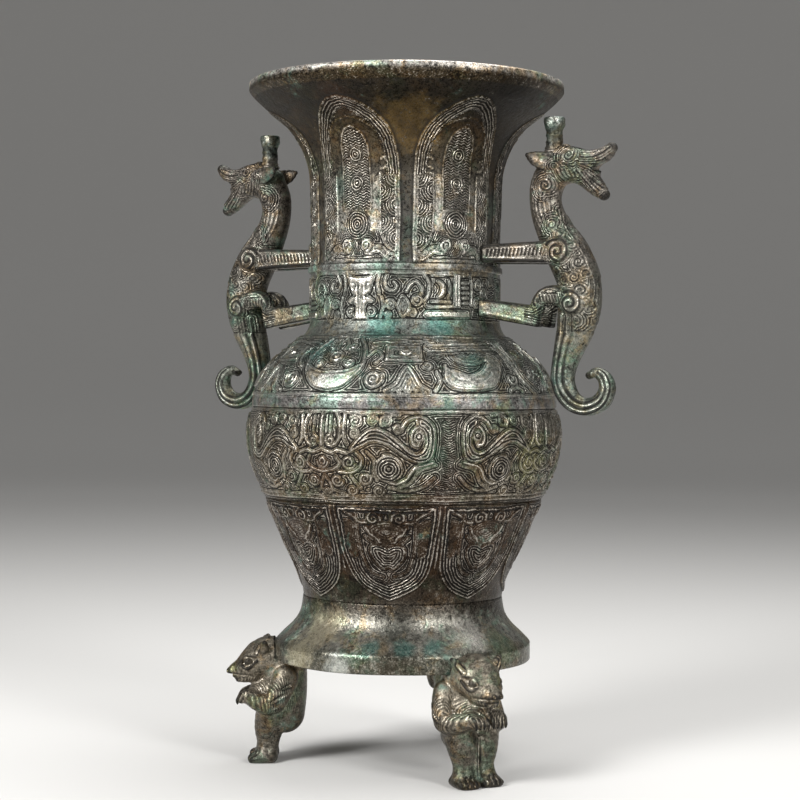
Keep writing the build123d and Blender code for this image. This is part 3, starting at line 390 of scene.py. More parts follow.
# Lower belly. A tapering bronze cup with eight hanging leaves cast in relief round it.
# Each leaf has a ridged edge, parallel lines in its point, and a small mask over a heart.
class Mould:
    """Half of a relief motif. Its strokes are in degrees from the motif's middle line and in level.
    It is a grid with an even step. Strokes are drawn through close points, and relief that is as high
    as a stroke's flank counts as a stroke."""

    STEP = 0.2
    LINE_STEP = 0.6
    STROKE_HIGH = 0.42

    def __init__(self, face, half, low, high, stroke=0.66):
        travel = np.linalg.norm(np.diff(face, axis=0), axis=1)
        middle = (face[1:, 0] + face[:-1, 0]) / 2
        inner = (face[:, 1] >= low) & (face[:, 1] <= high)
        self.radius = face[inner, 0].mean()
        self.level = face[:, 1]
        self.climb = np.concatenate([[0], np.cumsum(travel / middle)]) * self.radius
        self.scale = np.radians(1.0) * self.radius
        self.half = half
        self.stroke = stroke
        self.across = np.arange(0, half * self.scale + self.STEP, self.STEP)
        self.up = np.arange(self.at(low), self.at(high) + self.STEP, self.STEP)
        self.height = np.zeros((len(self.up), len(self.across)))
        self.plain = np.zeros_like(self.height)
        self.wear = np.zeros_like(self.height)
        self.count = np.full_like(self.height, np.nan)

    def at(self, level):
        """Distance up the face to a level, stretched so that shapes keep their proportions."""
        return np.interp(level, self.level, self.climb)

    def on(self, points):
        """Points of degrees and level, laid on the mould."""
        points = np.array(points, float)
        return np.column_stack([points[:, 0] * self.scale, self.at(points[:, 1])])

    def above(self, level):
        """Where the mould lies above a level."""
        return self.up[:, None] > self.at(level)

    def gap_from(self, middle, squat=1.0):
        """Distance of each place on the mould from one spot."""
        centre = self.on([middle])[0]
        return np.hypot(self.across[None, :] - centre[0], (self.up[:, None] - centre[1]) * squat)

    def near(self, line, reach):
        """The window of the mould round a line, and each place's distance from the line."""
        low, high = line.min(axis=0) - reach, line.max(axis=0) + reach
        columns = slice(*np.searchsorted(self.across, (low[0], high[0])))
        rows = slice(*np.searchsorted(self.up, (low[1], high[1])))
        x, y = self.across[columns][None, :], self.up[rows][:, None]
        best = np.full((y.shape[0], x.shape[1]), 1e9)
        for (ax, ay), (bx, by) in zip(line, line[1:]):
            length = (bx - ax) ** 2 + (by - ay) ** 2 + 1e-12
            share = np.clip(((x - ax) * (bx - ax) + (y - ay) * (by - ay)) / length, 0, 1)
            gap = (x - ax - share * (bx - ax)) ** 2 + (y - ay - share * (by - ay)) ** 2
            best = np.minimum(best, gap)
        return (rows, columns), np.sqrt(best)

    def swell(self, line, wide, high):
        """A round ridge along a line that lies on the mould."""
        wide = wide * self.stroke
        window, gap = self.near(line, wide)
        rise = high * np.sqrt(np.clip(1 - (gap / wide) ** 2, 0, 1))
        self.height[window] = np.maximum(self.height[window], rise)

    def ridge(self, points, wide, high, straight=False):
        """A round ridge through a few points."""
        line = self.on(points)
        self.swell(line if straight else flowing(line, self.LINE_STEP), wide, high)

    def groove(self, points, wide, deep):
        """A rounded groove through a few points."""
        window, gap = self.near(flowing(self.on(points), self.LINE_STEP), wide)
        self.height[window] -= deep * np.clip(1 - (gap / wide) ** 2, 0, 1)

    def arc(self, middle, arm, angle, wide, high, broad=1.0):
        """A ridge round a spot, at an arm's length that may change with the angle."""
        centre = self.on([middle])[0]
        self.swell(centre + np.column_stack([broad * arm * np.cos(angle), arm * np.sin(angle)]), wide, high)

    def curl(self, middle, reach, turns, start, hand, wide, high):
        """A spiral that runs in from its reach."""
        share = np.linspace(0, 1, int(26 * turns) + 4)
        angle = np.radians(start + hand * 360 * turns * share)
        self.arc(middle, reach * (1 - 0.88 * share), angle, wide, high)

    def coil(self, middle, reach, high=0.5, pitch=1.6):
        """A low disc scored with rings."""
        gap = self.gap_from(middle)
        self.height = np.maximum(self.height, high * np.clip((reach - gap) / 0.6, 0, 1))
        self.score((reach - gap) / pitch, gap < reach - 0.3)

    def rosette(self, middle, reach, wide, high):
        """Two spirals inside two rings."""
        for share in (1.0, 0.45):
            self.curl(middle, reach * share, 1.0, 0, 1, wide, high)
            self.arc(middle, reach * share * np.ones(26), np.linspace(0, FULL_TURN, 26), wide, high)

    def depth_in(self, points, straight=False):
        """Distance inside a closed outline, and below zero outside it."""
        line = self.on(list(points) + [points[0]])
        line = line if straight else flowing(line, self.LINE_STEP)
        gap = self.near(line, 1e3)[1]
        x, y = self.across[None, :], self.up[:, None]
        inside = np.zeros_like(self.height, bool)
        for (ax, ay), (bx, by) in zip(line, line[1:]):
            if ay != by:
                crosses = (ay > y) != (by > y)
                inside ^= crosses & (x < ax + (y - ay) * (bx - ax) / (by - ay))
        return np.where(inside, gap, -gap)

    def plate(self, points, high, edge=0.6, straight=False, wear=0.40):
        """A raised flat form with rounded edges, rubbed by handling."""
        rise = np.clip(self.depth_in(points, straight) / edge, 0, 1)
        rise = rise * rise * (3 - 2 * rise)
        self.height = np.maximum(self.height, high * rise)
        self.plain = np.maximum(self.plain, rise)
        self.wear = np.maximum(self.wear, wear * rise)

    def contours(self, depth, places, wide, high):
        """Ridges that follow an outline at certain depths inside it."""
        for place in places:
            rise = high * np.sqrt(np.clip(1 - ((depth - place) / wide) ** 2, 0, 1))
            self.height = np.maximum(self.height, rise)

    def score(self, run, where):
        """Fine lines where a mask holds. Run counts them across the ground."""
        self.count = np.where(where, run, self.count)

    def spacing(self, reach=7.0):
        """Distance from the nearest stroke, with the motif mirrored at its edges."""
        steps = int(reach / self.STEP)
        gap = np.where(self.height > self.STROKE_HIGH, 0.0, 1e4)
        for axis in (0, 1):
            pad = [(steps, steps) if k == axis else (0, 0) for k in (0, 1)]
            wide = np.pad(gap, pad, mode="reflect")
            places = np.arange(gap.shape[axis])
            shifts = range(2 * steps + 1)
            gap = np.min([np.take(wide, places + k, axis) + (k - steps) ** 2.0 for k in shifts], axis=0)
        return np.minimum(np.sqrt(gap) * self.STEP, reach)

    def soften(self, field, reach):
        """Mean of a field over a square, with the motif mirrored at its edges."""
        count = max(1, int(round(reach / self.STEP)))
        span = 2 * count + 1
        for axis in (0, 1):
            pad = [(count + 1, count) if k == axis else (0, 0) for k in (0, 1)]
            total = np.cumsum(np.pad(field, pad, mode="reflect"), axis=axis)
            places = np.arange(field.shape[axis])
            field = (np.take(total, places + span, axis) - np.take(total, places, axis)) / span
        return field

    def sample(self, field, out, up):
        """A field's values at places across and up the mould, without blending."""
        row = np.clip(((up - self.up[0]) / self.STEP).astype(int), 0, field.shape[0] - 1)
        column = np.clip((out / self.STEP).astype(int), 0, field.shape[1] - 1)
        return field[row, column]

    def pressed(self, middle=0.0, loose=0.25, pitch=1.2, bare=None, ground=0.82):
        """The relief of the whole ring. Loose is how far the strokes stray, and pitch and ground are the
        spacing and strength of the lines between them, which a bare mask leaves out."""
        lift = self.soften(self.height, 0.2)
        gap = self.spacing()
        # Painted shade: the relief's high-pass makes strokes lighter and the ground beside them darker, and
        # wear is added to it.
        shade = (lift - self.soften(lift, 1.4)) / 0.5
        shade = np.where(gap > 0.5, np.maximum(shade, -0.12), shade)
        shade = np.clip(self.soften(shade, 0.2) + self.wear, -1, 1)
        thread = np.clip((gap - 0.2) / 0.5, 0, 1) * (1 - self.plain)
        if bare is not None:
            thread = np.where(bare, 0, thread)
        scored = ~np.isnan(self.count)
        thread = self.soften(np.where(scored, 1.0, ground * thread), 0.2)
        x, y = self.across[None, :], self.up[:, None]
        wave = y + 0.55 * np.sin(1.25 * x + 0.6 * np.sin(0.9 * y))
        count = np.where(gap < 3.4 * pitch, gap / pitch - 0.25, wave / pitch)
        count = np.where(scored, self.count, count)

        def relief(angle, height):
            turn = np.radians(angle)
            climb = self.at(height)
            drift = loose * (np.sin(5 * turn + 0.11 * climb) + 0.6 * np.sin(13 * turn - 0.23 * climb))
            wander = loose * (np.sin(9 * turn + 0.07 * climb) + 0.5 * np.sin(17 * turn + 0.19 * climb))
            swing = np.abs((angle - middle + self.half) % (2 * self.half) - self.half)
            column = np.clip((swing * self.scale + drift) / self.STEP, 0, len(self.across) - 1.001)
            row = np.clip((climb + wander - self.up[0]) / self.STEP, 0, len(self.up) - 1.001)
            outside = (climb < self.up[0]) | (climb > self.up[-1])
            c, r = column.astype(int), row.astype(int)
            fc, fr = column - c, row - r
            fields = []
            for field in (lift, shade, count, thread):
                lower = field[r, c] * (1 - fc) + field[r, c + 1] * fc
                upper = field[r + 1, c] * (1 - fc) + field[r + 1, c + 1] * fc
                fields.append(np.where(outside, 0, lower * (1 - fr) + upper * fr))
            return fields

        return relief


def inside_of(face):
    """The inner face of a wall, from the top down, at an even thickness and with fewer points."""
    line = face - WALL * outward(face)
    line[:, 1] = np.clip(line[:, 1], face[0, 1], face[-1, 1])
    return line[np.linspace(0, len(line) - 1, max(2, len(line) // 6)).astype(int)][::-1]


belly_low = level("belly")
body_stains = [
    (-102, 70.0, 229, 15, TEAL),
    (-31, 75.0, 223, 13, TEAL),
    (-74, 56.0, 243, 15, TEAL),
    (-41, 56.0, 243, 11, TEAL),
    (-50, 86.5, 173, 11, (0.055, 0.155, 0.100)),
    (-8, 87.0, 171, 19, (0.190, 0.180, 0.085)),
    (-46, 81.5, 157, 19, (0.066, 0.034, 0.021)),
    (-92, 86.0, 165, 15, (0.085, 0.048, 0.028)),
    (70, 80.0, 215, 16, TEAL),
    (120, 86.0, 178, 18, (0.055, 0.155, 0.100)),
    (175, 84.0, 160, 17, (0.190, 0.180, 0.085)),
]
carved_bronze = aged_bronze("carved_bronze", vessel_zones, stains_and_shade=body_stains)
cup_line = [(waist_radius, waist), (57.1, 101.3), (61.9, 112.6), (67.3, 123.9), (72.0, 135.0), (75.8, 143.4),
            (76.6, 146.6), (76.4, belly_low)]
cup_face = flowing(cup_line, 0.52)
leaf = Mould(cup_face, 22.5, waist + 0.4, belly_low - 0.2)
leaf_edge = [(21.6, 150.0), (21.4, 135.0), (21.0, 122.0), (19.3, 112.0), (16.0, 106.0), (11.5, 101.8),
             (6.0, 98.8), (0.0, 96.4)]
leaf_line = [tuple(spot) for spot in flowing(leaf_edge, 2.0)]
inside = leaf.depth_in(leaf_line + [(-20.0, 96.4), (-20.0, 150.0)], straight=True)
leaf.height = 0.28 * np.clip(inside / 0.6, 0, 1)
leaf.contours(inside, [0.2], 0.62, 0.95)
leaf.contours(inside, [1.7], 0.42, 0.62)
leaf.ridge([(12.6, 146.0), (12.4, 132.0), (11.8, 121.0), (9.6, 114.0), (6.4, 110.8), (2.6, 109.2)],
           0.55, 0.85)
heart_edge = [(0.0, 125.2), (3.0, 126.8), (6.4, 126.6), (7.8, 124.0), (7.0, 119.8), (4.6, 116.2),
              (2.0, 113.6), (0.0, 114.4), (-2.0, 113.6), (-7.0, 119.8), (-6.4, 126.6), (-3.0, 126.8)]
heart = leaf.depth_in(heart_edge)
leaf.contours(heart, 0.2 + 1.35 * np.arange(5), 0.5, 0.8)
brow_edge = [(0.0, 139.6), (4.5, 138.6), (7.6, 135.4), (6.6, 131.4), (3.2, 128.6), (0.0, 127.6),
             (-3.2, 128.6), (-6.6, 131.4), (-7.6, 135.4), (-4.5, 138.6)]
brow = leaf.depth_in(brow_edge)
leaf.contours(brow, 0.3 + 1.35 * np.arange(4), 0.5, 0.66)
leaf.ridge([(3.4, 128.6), (4.8, 131.4), (7.0, 133.2), (8.6, 136.6)], 0.85, 1.05)
leaf.ridge([(5.4, 127.8), (7.6, 129.2), (9.4, 131.6)], 0.6, 0.8)
leaf.curl((5.4, 141.8), 3.5, 1.6, 200, -1, 0.85, 1.1)
leaf.ridge([(3.3, 141.9), (2.2, 143.6), (1.6, 146.4)], 0.6, 0.9)
leaf.ridge([(8.0, 139.4), (11.4, 139.6), (13.6, 142.4), (18.4, 145.6)], 0.8, 1.0)
for panel_low, panel_high in ((131.0, 139.5), (121.5, 130.0)):
    panel_edge = [(14.2, panel_low), (19.0, panel_low + 1.0), (18.6, panel_high), (14.2, panel_high - 1.0)]
    panel = leaf.depth_in(panel_edge)
    leaf.contours(panel, 0.3 + 1.2 * np.arange(3), 0.46, 0.62)
leaf.ridge([(14.6, 119.6), (17.2, 121.6), (18.0, 124.0), (16.4, 126.0)], 0.6, 0.9)
leaf.ridge([(22.5, 148.0), (22.5, 114.0)], 0.75, 0.7, straight=True)
leaf.ridge([(-1.0, 147.2), (24.0, 147.2)], 0.55, 0.9, straight=True)
leaf.wear = np.where((heart > 0) | (brow > 0), 0.22, 0.0)
cup_back = inside_of(cup_face)
leaf.score(inside / 1.75, (inside > 0.9) & (inside < np.where(leaf.above(120.0), 3.6, 9.6)))
leaf.score(heart / 1.5 - 0.1, heart > 0.4)
ring("lower_belly_cast", "lower_belly", cup_face, cup_back, 864, carved_bronze,
     leaf.pressed(22.5, bare=inside < 0))


# Belly. The widest bronze ring, with four horned masks cast in relief over a scroll ground.
# Each mask has a ridged nose, a scroll block beside it, swept horns with hooked tips, and studs.
band_low = level("shoulder")
swell_line = [(77.4, belly_low), (78.4, belly_low + 1.0), (80.2, 153.2), (84.0, 163.3), (87.0, 174.5),
              (87.8, 184.5), (87.2, 191.8), (85.4, 197.2), (84.4, band_low)]
swell_face = flowing(swell_line, 0.54)
mask = Mould(swell_face, 45.0, belly_low + 0.6, band_low - 0.3)
horn_top = [(11.0, 178.0), (14.0, 183.0), (17.0, 187.0), (20.0, 188.5), (23.0, 187.0), (26.0, 184.0),
            (29.0, 180.0), (31.5, 177.0), (34.0, 175.7), (36.2, 177.5), (37.3, 181.0), (37.3, 185.0),
            (36.3, 188.5), (34.5, 190.0), (32.8, 188.0), (32.0, 184.5), (32.6, 181.0), (34.3, 180.0)]
horn_under = [(11.0, 177.0), (15.0, 180.0), (18.0, 182.3), (21.0, 182.5), (24.0, 181.0), (27.0, 178.0),
              (30.0, 175.0), (33.0, 172.7), (36.5, 172.3), (38.8, 174.5), (39.8, 180.0), (40.0, 186.0),
              (39.0, 191.0), (36.8, 194.0), (34.0, 195.0), (31.0, 193.4), (29.4, 190.2)]
horn_edge = horn_top[:14] + horn_under[14::-1]
horn = mask.depth_in(horn_edge)
mask.plate(horn_edge, 0.7, 0.8, wear=0.12)
mask.score(horn / 1.6 + 0.25, horn > 0.2)
mask.ridge(horn_top, 0.8, 1.15)
mask.ridge(horn_under, 0.8, 1.1)
mask.ridge([(34.6, 186.6), (35.0, 183.0), (34.4, 180.6)], 0.6, 0.8)
mask.ridge([(39.5, 171.6), (36.0, 170.2), (33.5, 169.0), (31.8, 166.0), (30.2, 162.4), (27.0, 160.0),
            (24.6, 160.6)], 0.75, 1.2)
mask.ridge([(40.6, 170.2), (36.4, 168.4), (34.6, 166.8), (33.0, 163.4), (31.4, 160.2), (28.0, 158.0)],
           0.42, 0.6)
mask.coil((24.2, 167.6), 7.4)
mask.curl((24.2, 167.6), 7.6, 1.0, 112, -1, 0.72, 1.1)
mask.coil((34.6, 185.0), 2.6)
mask.ridge([(5.4, 196.4), (6.6, 193.0), (6.8, 187.0), (6.0, 182.0), (4.0, 180.0)], 0.7, 0.95)
mask.ridge([(8.6, 196.4), (8.2, 190.0), (8.4, 184.0), (9.6, 180.6)], 0.6, 0.8)
mask.groove([(7.5, 196.0), (7.5, 181.5)], 0.6, 0.5)
mask.ridge([(0.0, 196.0), (0.0, 180.0)], 0.7, 1.0)
mask.ridge([(3.2, 195.0), (3.2, 186.0)], 0.5, 0.7)
mask.curl((3.0, 182.6), 2.6, 1.5, 90, 1, 0.55, 0.85)
for side, rise, reach in ((12.6, 192.4, 3.4), (18.4, 194.0, 2.6), (12.0, 186.2, 2.5), (23.6, 193.0, 3.0),
                          (27.6, 189.2, 2.2)):
    mask.curl((side, rise), reach, 1.9, 40 * side, -1, 0.55, 0.85)
mask.ridge([(9.2, 197.0), (16.0, 196.6), (22.0, 197.2), (28.0, 196.0)], 0.5, 0.7)
for side, rise, reach in ((0.0, 171.4, 2.8), (10.0, 171.2, 3.0), (5.0, 161.6, 2.8), (15.6, 162.8, 2.8),
                          (0.0, 156.0, 2.0), (10.6, 156.6, 2.4), (20.6, 156.2, 2.4)):
    mask.curl((side, rise), 1.15 * reach, 1.8, 70 * side, -1, 0.62, 1.0)
mask.ridge([(0.0, 178.4), (3.6, 176.4), (6.0, 177.6), (9.4, 176.2)], 0.6, 0.9)
mask.ridge([(0.0, 166.2), (4.0, 167.6), (6.6, 170.6), (5.4, 174.0)], 0.6, 0.85)
mask.ridge([(6.0, 166.4), (10.0, 165.8), (13.6, 168.2), (14.6, 172.8), (12.8, 176.0)], 0.6, 0.9)
mask.ridge([(10.4, 164.0), (12.4, 160.2), (14.0, 157.6)], 0.5, 0.75)
mask.ridge([(0.6, 164.0), (2.0, 160.0), (3.0, 156.6), (7.4, 155.0)], 0.5, 0.75)
mask.ridge([(16.6, 176.4), (19.0, 171.6), (18.6, 166.6), (20.0, 161.6)], 0.5, 0.8)
mask.ridge([(24.0, 158.0), (30.0, 156.2), (36.0, 158.4), (40.4, 163.6)], 0.5, 0.7)
for line_up, high in ((197.6, 0.7), (153.4, 0.8), (151.4, 1.0)):
    mask.ridge([(-1.0, line_up), (46.0, line_up)], 0.5, high, straight=True)
swell_back = inside_of(swell_face)
ring("belly_cast", "belly", swell_face, swell_back, 1056, carved_bronze, mask.pressed())


# Shoulder. A steep bronze ring with a plain proud band below and confronted dragons above it.
# Crescent wings and a framed eye stand well out of the scroll ground, and wear has smoothed them.
collar_low = level("collar")
band_high = band_low + 5.0
slope_line = [(85.2, band_low), (85.4, band_low + 0.8), (85.4, band_high - 0.8), (85.0, band_high + 0.4),
              (84.0, 208.3), (81.9, 213.9), (78.5, 219.6), (74.0, 225.2), (67.6, 230.8), (61.4, 236.2),
              (58.6, collar_low)]
slope_face = flowing(slope_line, 0.52)
dragon = Mould(slope_face, 90.0, band_high + 0.8, collar_low - 0.4)
wing_edge = [(8.0, 236.0), (12.0, 230.0), (12.6, 222.0), (10.0, 216.0), (6.0, 211.4), (0.0, 209.6)]
wing_plate = wing_edge[2:] + [(-6.0, 211.4), (-10.0, 216.0), (-12.6, 222.0), (-7.0, 218.6), (0.0, 218.0),
                              (7.0, 218.6)]
dragon.plate(wing_plate, 1.1, 1.0)
dragon.ridge(wing_edge, 0.75, 1.35)
dragon.ridge([(12.4, 222.4), (8.4, 219.4), (3.0, 218.2), (-2.0, 218.2)], 0.55, 1.25)
dragon.rosette((0.0, 226.5), 3.2, 0.65, 1.1)
dragon.curl((5.2, 231.6), 2.6, 1.5, 250, -1, 0.6, 1.0)
dragon.curl((7.0, 223.4), 2.5, 1.5, 180, 1, 0.6, 0.95)
dragon.ridge([(0.0, 236.0), (2.2, 233.0), (1.6, 230.4)], 0.55, 0.9)
for inset, high in ((0.0, 1.15), (2.0, 0.75)):
    eye_frame = [(22.0 + inset, 224.6 + inset), (36.4 - inset, 224.6 + inset),
                 (36.4 - inset, 231.6 - 0.6 * inset), (22.0 + inset, 231.6 - 0.6 * inset),
                 (22.0 + inset, 224.6 + inset)]
    dragon.ridge(eye_frame, 0.6, high, straight=True)
dragon.plate([(26.6, 228.4), (30.0, 230.2), (33.4, 228.4), (30.0, 226.6)], 1.3, 0.9)
dragon.groove([(29.4, 228.4), (30.6, 228.4)], 0.8, 0.9)
for drop, high in ((0.0, 1.15), (2.4, 0.75), (4.8, 0.75), (7.2, 0.75)):
    hill = [(22.6 + drop, 208.6), (26.2 + 0.5 * drop, 211.6 - 0.3 * drop), (28.4 + 0.2 * drop, 217.4 - drop),
            (30.5, 221.0 - drop), (32.6 - 0.2 * drop, 217.4 - drop), (34.8 - 0.5 * drop, 211.6 - 0.3 * drop),
            (38.4 - drop, 208.6)]
    dragon.ridge(hill, 0.66, high)
dragon.curl((18.0, 214.6), 4.4, 2.0, 30, -1, 0.65, 1.1)
dragon.curl((38.4, 222.0), 2.2, 1.4, 200, 1, 0.55, 0.9)
dragon.ridge([(14.6, 233.4), (19.0, 234.4), (26.0, 234.0), (34.0, 235.0), (42.0, 234.4)], 0.6, 0.9)
dragon.ridge([(14.0, 226.0), (17.0, 229.6), (19.8, 226.4), (17.6, 222.6)], 0.6, 0.9)
crest_outer = [(45.5, 222.0), (45.0, 214.6), (48.0, 210.6), (55.0, 209.6), (62.0, 210.6), (66.0, 213.0),
               (70.0, 220.6), (69.4, 225.6), (66.4, 226.8), (64.0, 224.0)]
crest_inner = [(64.0, 222.6), (60.0, 218.6), (55.0, 216.6), (51.0, 218.2), (48.0, 219.6)]
dragon.plate(crest_outer + crest_inner, 1.1, 1.0)
dragon.ridge(crest_outer, 0.75, 1.4)
dragon.ridge(crest_inner, 0.6, 1.3)
dragon.groove([(47.4, 216.4), (50.0, 214.2), (54.0, 213.2)], 0.55, 0.45)
dragon.groove([(57.0, 213.4), (61.0, 214.6), (64.4, 217.6)], 0.55, 0.45)
sweep = np.radians(np.linspace(195, 345, 22))
for reach in (2.4, 4.2, 6.0, 7.8):
    dragon.arc((57.0, 228.0), reach * np.ones(22), sweep, 0.48, 0.72, broad=1.35)
for bar_up in (229.6, 232.6):
    dragon.ridge([(40.4, bar_up), (50.0, bar_up + 0.2), (62.0, bar_up + 0.8), (72.4, bar_up + 1.4)], 0.6, 1.1)
dragon.ridge([(40.4, 229.6), (38.8, 231.4), (40.2, 233.4), (44.0, 234.0)], 0.6, 1.0)
for offset, high in ((0.0, 1.05), (2.0, 0.85)):
    stem = [(79.0 + offset, 234.4), (78.0 + offset, 225.0), (80.0 + offset, 215.4), (86.0 + offset, 208.0)]
    dragon.ridge(stem, 0.6, high)
dragon.curl((87.4, 228.4), 3.6, 1.8, 160, -1, 0.65, 1.05)
dragon.curl((87.4, 217.6), 3.0, 1.6, 200, 1, 0.6, 0.95)
dragon.curl((74.4, 215.0), 3.2, 1.7, 20, -1, 0.6, 1.0)
dragon.ridge([(72.0, 208.6), (75.6, 210.8), (79.0, 208.8)], 0.55, 0.85)
dragon.ridge([(40.6, 209.0), (42.6, 214.0), (41.6, 218.6)], 0.55, 0.85)
for line_up in (206.2, 237.0):
    dragon.ridge([(-1.0, line_up), (91.0, line_up)], 0.5, 0.8, straight=True)
slope_back = inside_of(slope_face)
ring("shoulder_cast", "shoulder", slope_face, slope_back, 960, carved_bronze, dragon.pressed())


# Collar. A straight bronze ring on a coved foot, with a frieze of masks and side-on dragons.
# The frieze has a plain edge at the top and bottom, and the coved foot below it is left smooth.
neck_low = level("mouth_neck")
frieze_low = collar_low + 7.4
collar_line = [(57.2, collar_low), (55.6, collar_low + 1.8), (53.9, collar_low + 5.4),
               (53.2, collar_low + 9.2), (53.0, 256.0), (53.0, 268.0), (53.1, neck_low - 4.4),
               (54.2, neck_low - 3.7), (54.5, neck_low - 3.0), (54.5, neck_low - 0.7), (53.9, neck_low)]
collar_face = flowing(collar_line, 0.4)
frieze = Mould(collar_face, 90.0, frieze_low, neck_low - 4.2, stroke=0.46)
face_edge = [(0.0, 269.4), (4.0, 269.6), (9.2, 271.0), (7.6, 266.3), (6.2, 261.4), (3.4, 259.4), (6.4, 258.6),
             (8.6, 256.6), (7.6, 255.4), (5.0, 256.0), (3.2, 254.2), (2.9, 250.9), (4.6, 248.0), (5.6, 246.4)]
frieze.plate(face_edge + [(-4.0, 246.4), (-4.0, 269.4)], 1.0, 0.7, straight=True, wear=0.8)
for groove_line in ([(1.3, 265.0), (1.2, 258.0), (1.5, 250.0)],
                    [(5.8, 264.4), (4.6, 262.8), (3.4, 264.4), (4.2, 266.4), (5.6, 266.2)],
                    [(4.2, 257.2), (6.0, 256.8), (7.4, 256.2)]):
    frieze.groove(groove_line, 0.5, 0.6)
frieze.curl((7.0, 250.4), 2.4, 1.5, 120, -1, 0.7, 1.0)
frieze.ridge([(11.4, 270.6), (10.4, 265.4), (11.6, 260.4)], 0.6, 0.9)
frieze.ridge([(12.6, 248.0), (14.0, 253.0), (12.8, 258.6)], 0.5, 0.8)
frieze.ridge([(16.4, 270.6), (14.6, 266.0), (16.4, 262.4), (20.4, 262.0), (21.8, 264.6), (20.0, 266.4)],
             0.6, 1.05)
for reach in (0.0, 1.5, 2.8):
    shell = [(22.4 + reach, 253.4), (25.5, 259.0 - reach), (29.0 - reach, 253.4), (25.5, 248.0 + reach),
             (22.4 + reach, 253.4)]
    frieze.ridge(shell, 0.5, 1.0 - 0.12 * reach)
frieze.ridge([(27.6, 261.6), (30.0, 265.2), (33.4, 267.0), (36.4, 264.0), (36.6, 260.6)], 0.65, 1.15)
frieze.rosette((33.6, 257.2), 2.3, 0.55, 1.05)
frieze.ridge([(38.4, 270.6), (41.0, 266.4), (40.6, 260.4), (38.0, 256.6)], 0.6, 1.0)
frieze.plate([(45.0, 258.4), (47.6, 260.6), (48.0, 264.6), (45.6, 267.6), (49.6, 266.4), (51.2, 262.6),
              (49.6, 259.0)], 1.1, 0.8)
frieze.plate([(37.4, 249.6), (39.2, 251.6), (68.4, 251.4), (68.4, 247.6), (39.2, 247.6)],
             1.15, 0.8, straight=True)
frieze.ridge([(38.6, 254.6), (41.6, 253.6), (56.0, 253.8)], 0.5, 0.85)
frieze.ridge([(42.4, 256.4), (55.0, 256.2)], 0.45, 0.7)
frieze.ridge([(43.0, 270.6), (55.4, 270.8)], 0.55, 0.95)
frieze.ridge([(53.2, 258.6), (54.6, 263.0), (53.2, 267.6)], 0.5, 0.8)
frieze.plate([(57.0, 253.4), (61.2, 253.4), (61.2, 271.2), (57.0, 271.2)], 1.0, 0.7, straight=True)
frieze.groove([(59.1, 254.6), (59.1, 270.0)], 0.5, 0.5)
for tooth_up in (255.4, 258.2, 261.0, 263.8, 266.6):
    frieze.ridge([(63.0, tooth_up), (66.6, tooth_up + 0.4)], 0.5, 0.9)
frieze.ridge([(63.2, 270.4), (68.2, 270.8), (69.6, 266.0), (69.6, 254.6)], 0.55, 0.95)
for side, rise, reach in ((74.6, 266.0, 3.0), (74.0, 256.6, 3.2), (81.0, 251.2, 2.6), (80.6, 261.4, 3.2),
                          (87.4, 268.0, 2.6), (86.6, 255.2, 3.2), (18.4, 254.4, 2.8), (49.4, 250.0, 0.9),
                          (17.2, 248.6, 1.8), (31.0, 250.0, 2.4)):
    frieze.curl((side, rise), reach, 1.8, 30 * side, -1, 0.52, 0.9)
frieze.ridge([(-1.0, 245.8), (91.0, 245.8)], 0.5, 0.7, straight=True)
frieze.ridge([(-1.0, 271.8), (91.0, 271.8)], 0.5, 0.6, straight=True)
collar_back = inside_of(collar_face)
ring("collar_cast", "collar", collar_face, collar_back, 840, carved_bronze, frieze.pressed(2.6, 0.18))


# Mouth and neck. One bronze casting, a straight neck that flares to a thick lip.
# Six tall leaves stand round it, each with a ridged arch, scrolled panels and an inner leaf.
rim_high = level("mouth_neck", 1)
rim_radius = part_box("mouth_neck")[1][0] / MM
flare_line = [(53.2, neck_low), (52.9, 284.0), (53.2, 302.0), (53.5, 315.0), (53.9, 326.5), (55.4, 334.5),
              (58.6, 343.4), (61.6, 349.0), (65.9, 354.7), (72.3, 360.6), (79.7, 366.4), (85.6, 371.8),
              (87.6, 374.0)]
lip_line = [(rim_radius, 375.2), (rim_radius, rim_high - 1.4), (rim_radius - 0.5, rim_high - 0.4),
            (rim_radius - 1.4, rim_high)]
flare_face = flowing(flare_line, 0.86)
neck_face = np.vstack([flare_face, lip_line])
tall_leaf = Mould(neck_face, 30.0, neck_low + 0.6, 371.0)
arch_edge = [(25.8, 270.0), (26.0, 300.0), (26.0, 325.0), (25.0, 335.0), (22.6, 344.6), (19.6, 350.6),
             (15.0, 356.4), (10.0, 360.6), (5.0, 363.4), (0.0, 364.6)]
arch = tall_leaf.depth_in(arch_edge + [(-20.0, 364.6), (-20.0, 270.0)], straight=True)
arched = tall_leaf.above(324.0)
tall_leaf.height = 0.25 * np.clip(arch / 0.6, 0, 1)
tall_leaf.contours(arch, [0.3], 0.5, 0.8)
tall_leaf.score(arch / 1.6, (arch > 0.8) & (arch < 7.2) & arched)
tall_leaf.contours(arch, [1.5], 0.42, 0.65)
panel_edge = [(14.4, 325.0), (24.0, 324.0), (24.2, 283.0), (21.0, 284.6), (17.2, 288.4), (14.4, 295.0)]
panel = tall_leaf.depth_in(panel_edge, straight=True)
tall_leaf.contours(panel, [0.2], 0.5, 0.85)
for fan in ((24.4, 290.0), (14.4, 299.0), (24.4, 308.0), (14.4, 316.0), (24.4, 324.0)):
    gap = tall_leaf.gap_from(fan)
    tall_leaf.score(gap / 1.6, (panel > 0.5) & (gap < 8.8))
tall_leaf.ridge([(15.0, 327.4), (18.0, 328.2), (19.6, 330.6), (17.6, 333.4), (15.6, 332.4)], 0.75, 1.15)
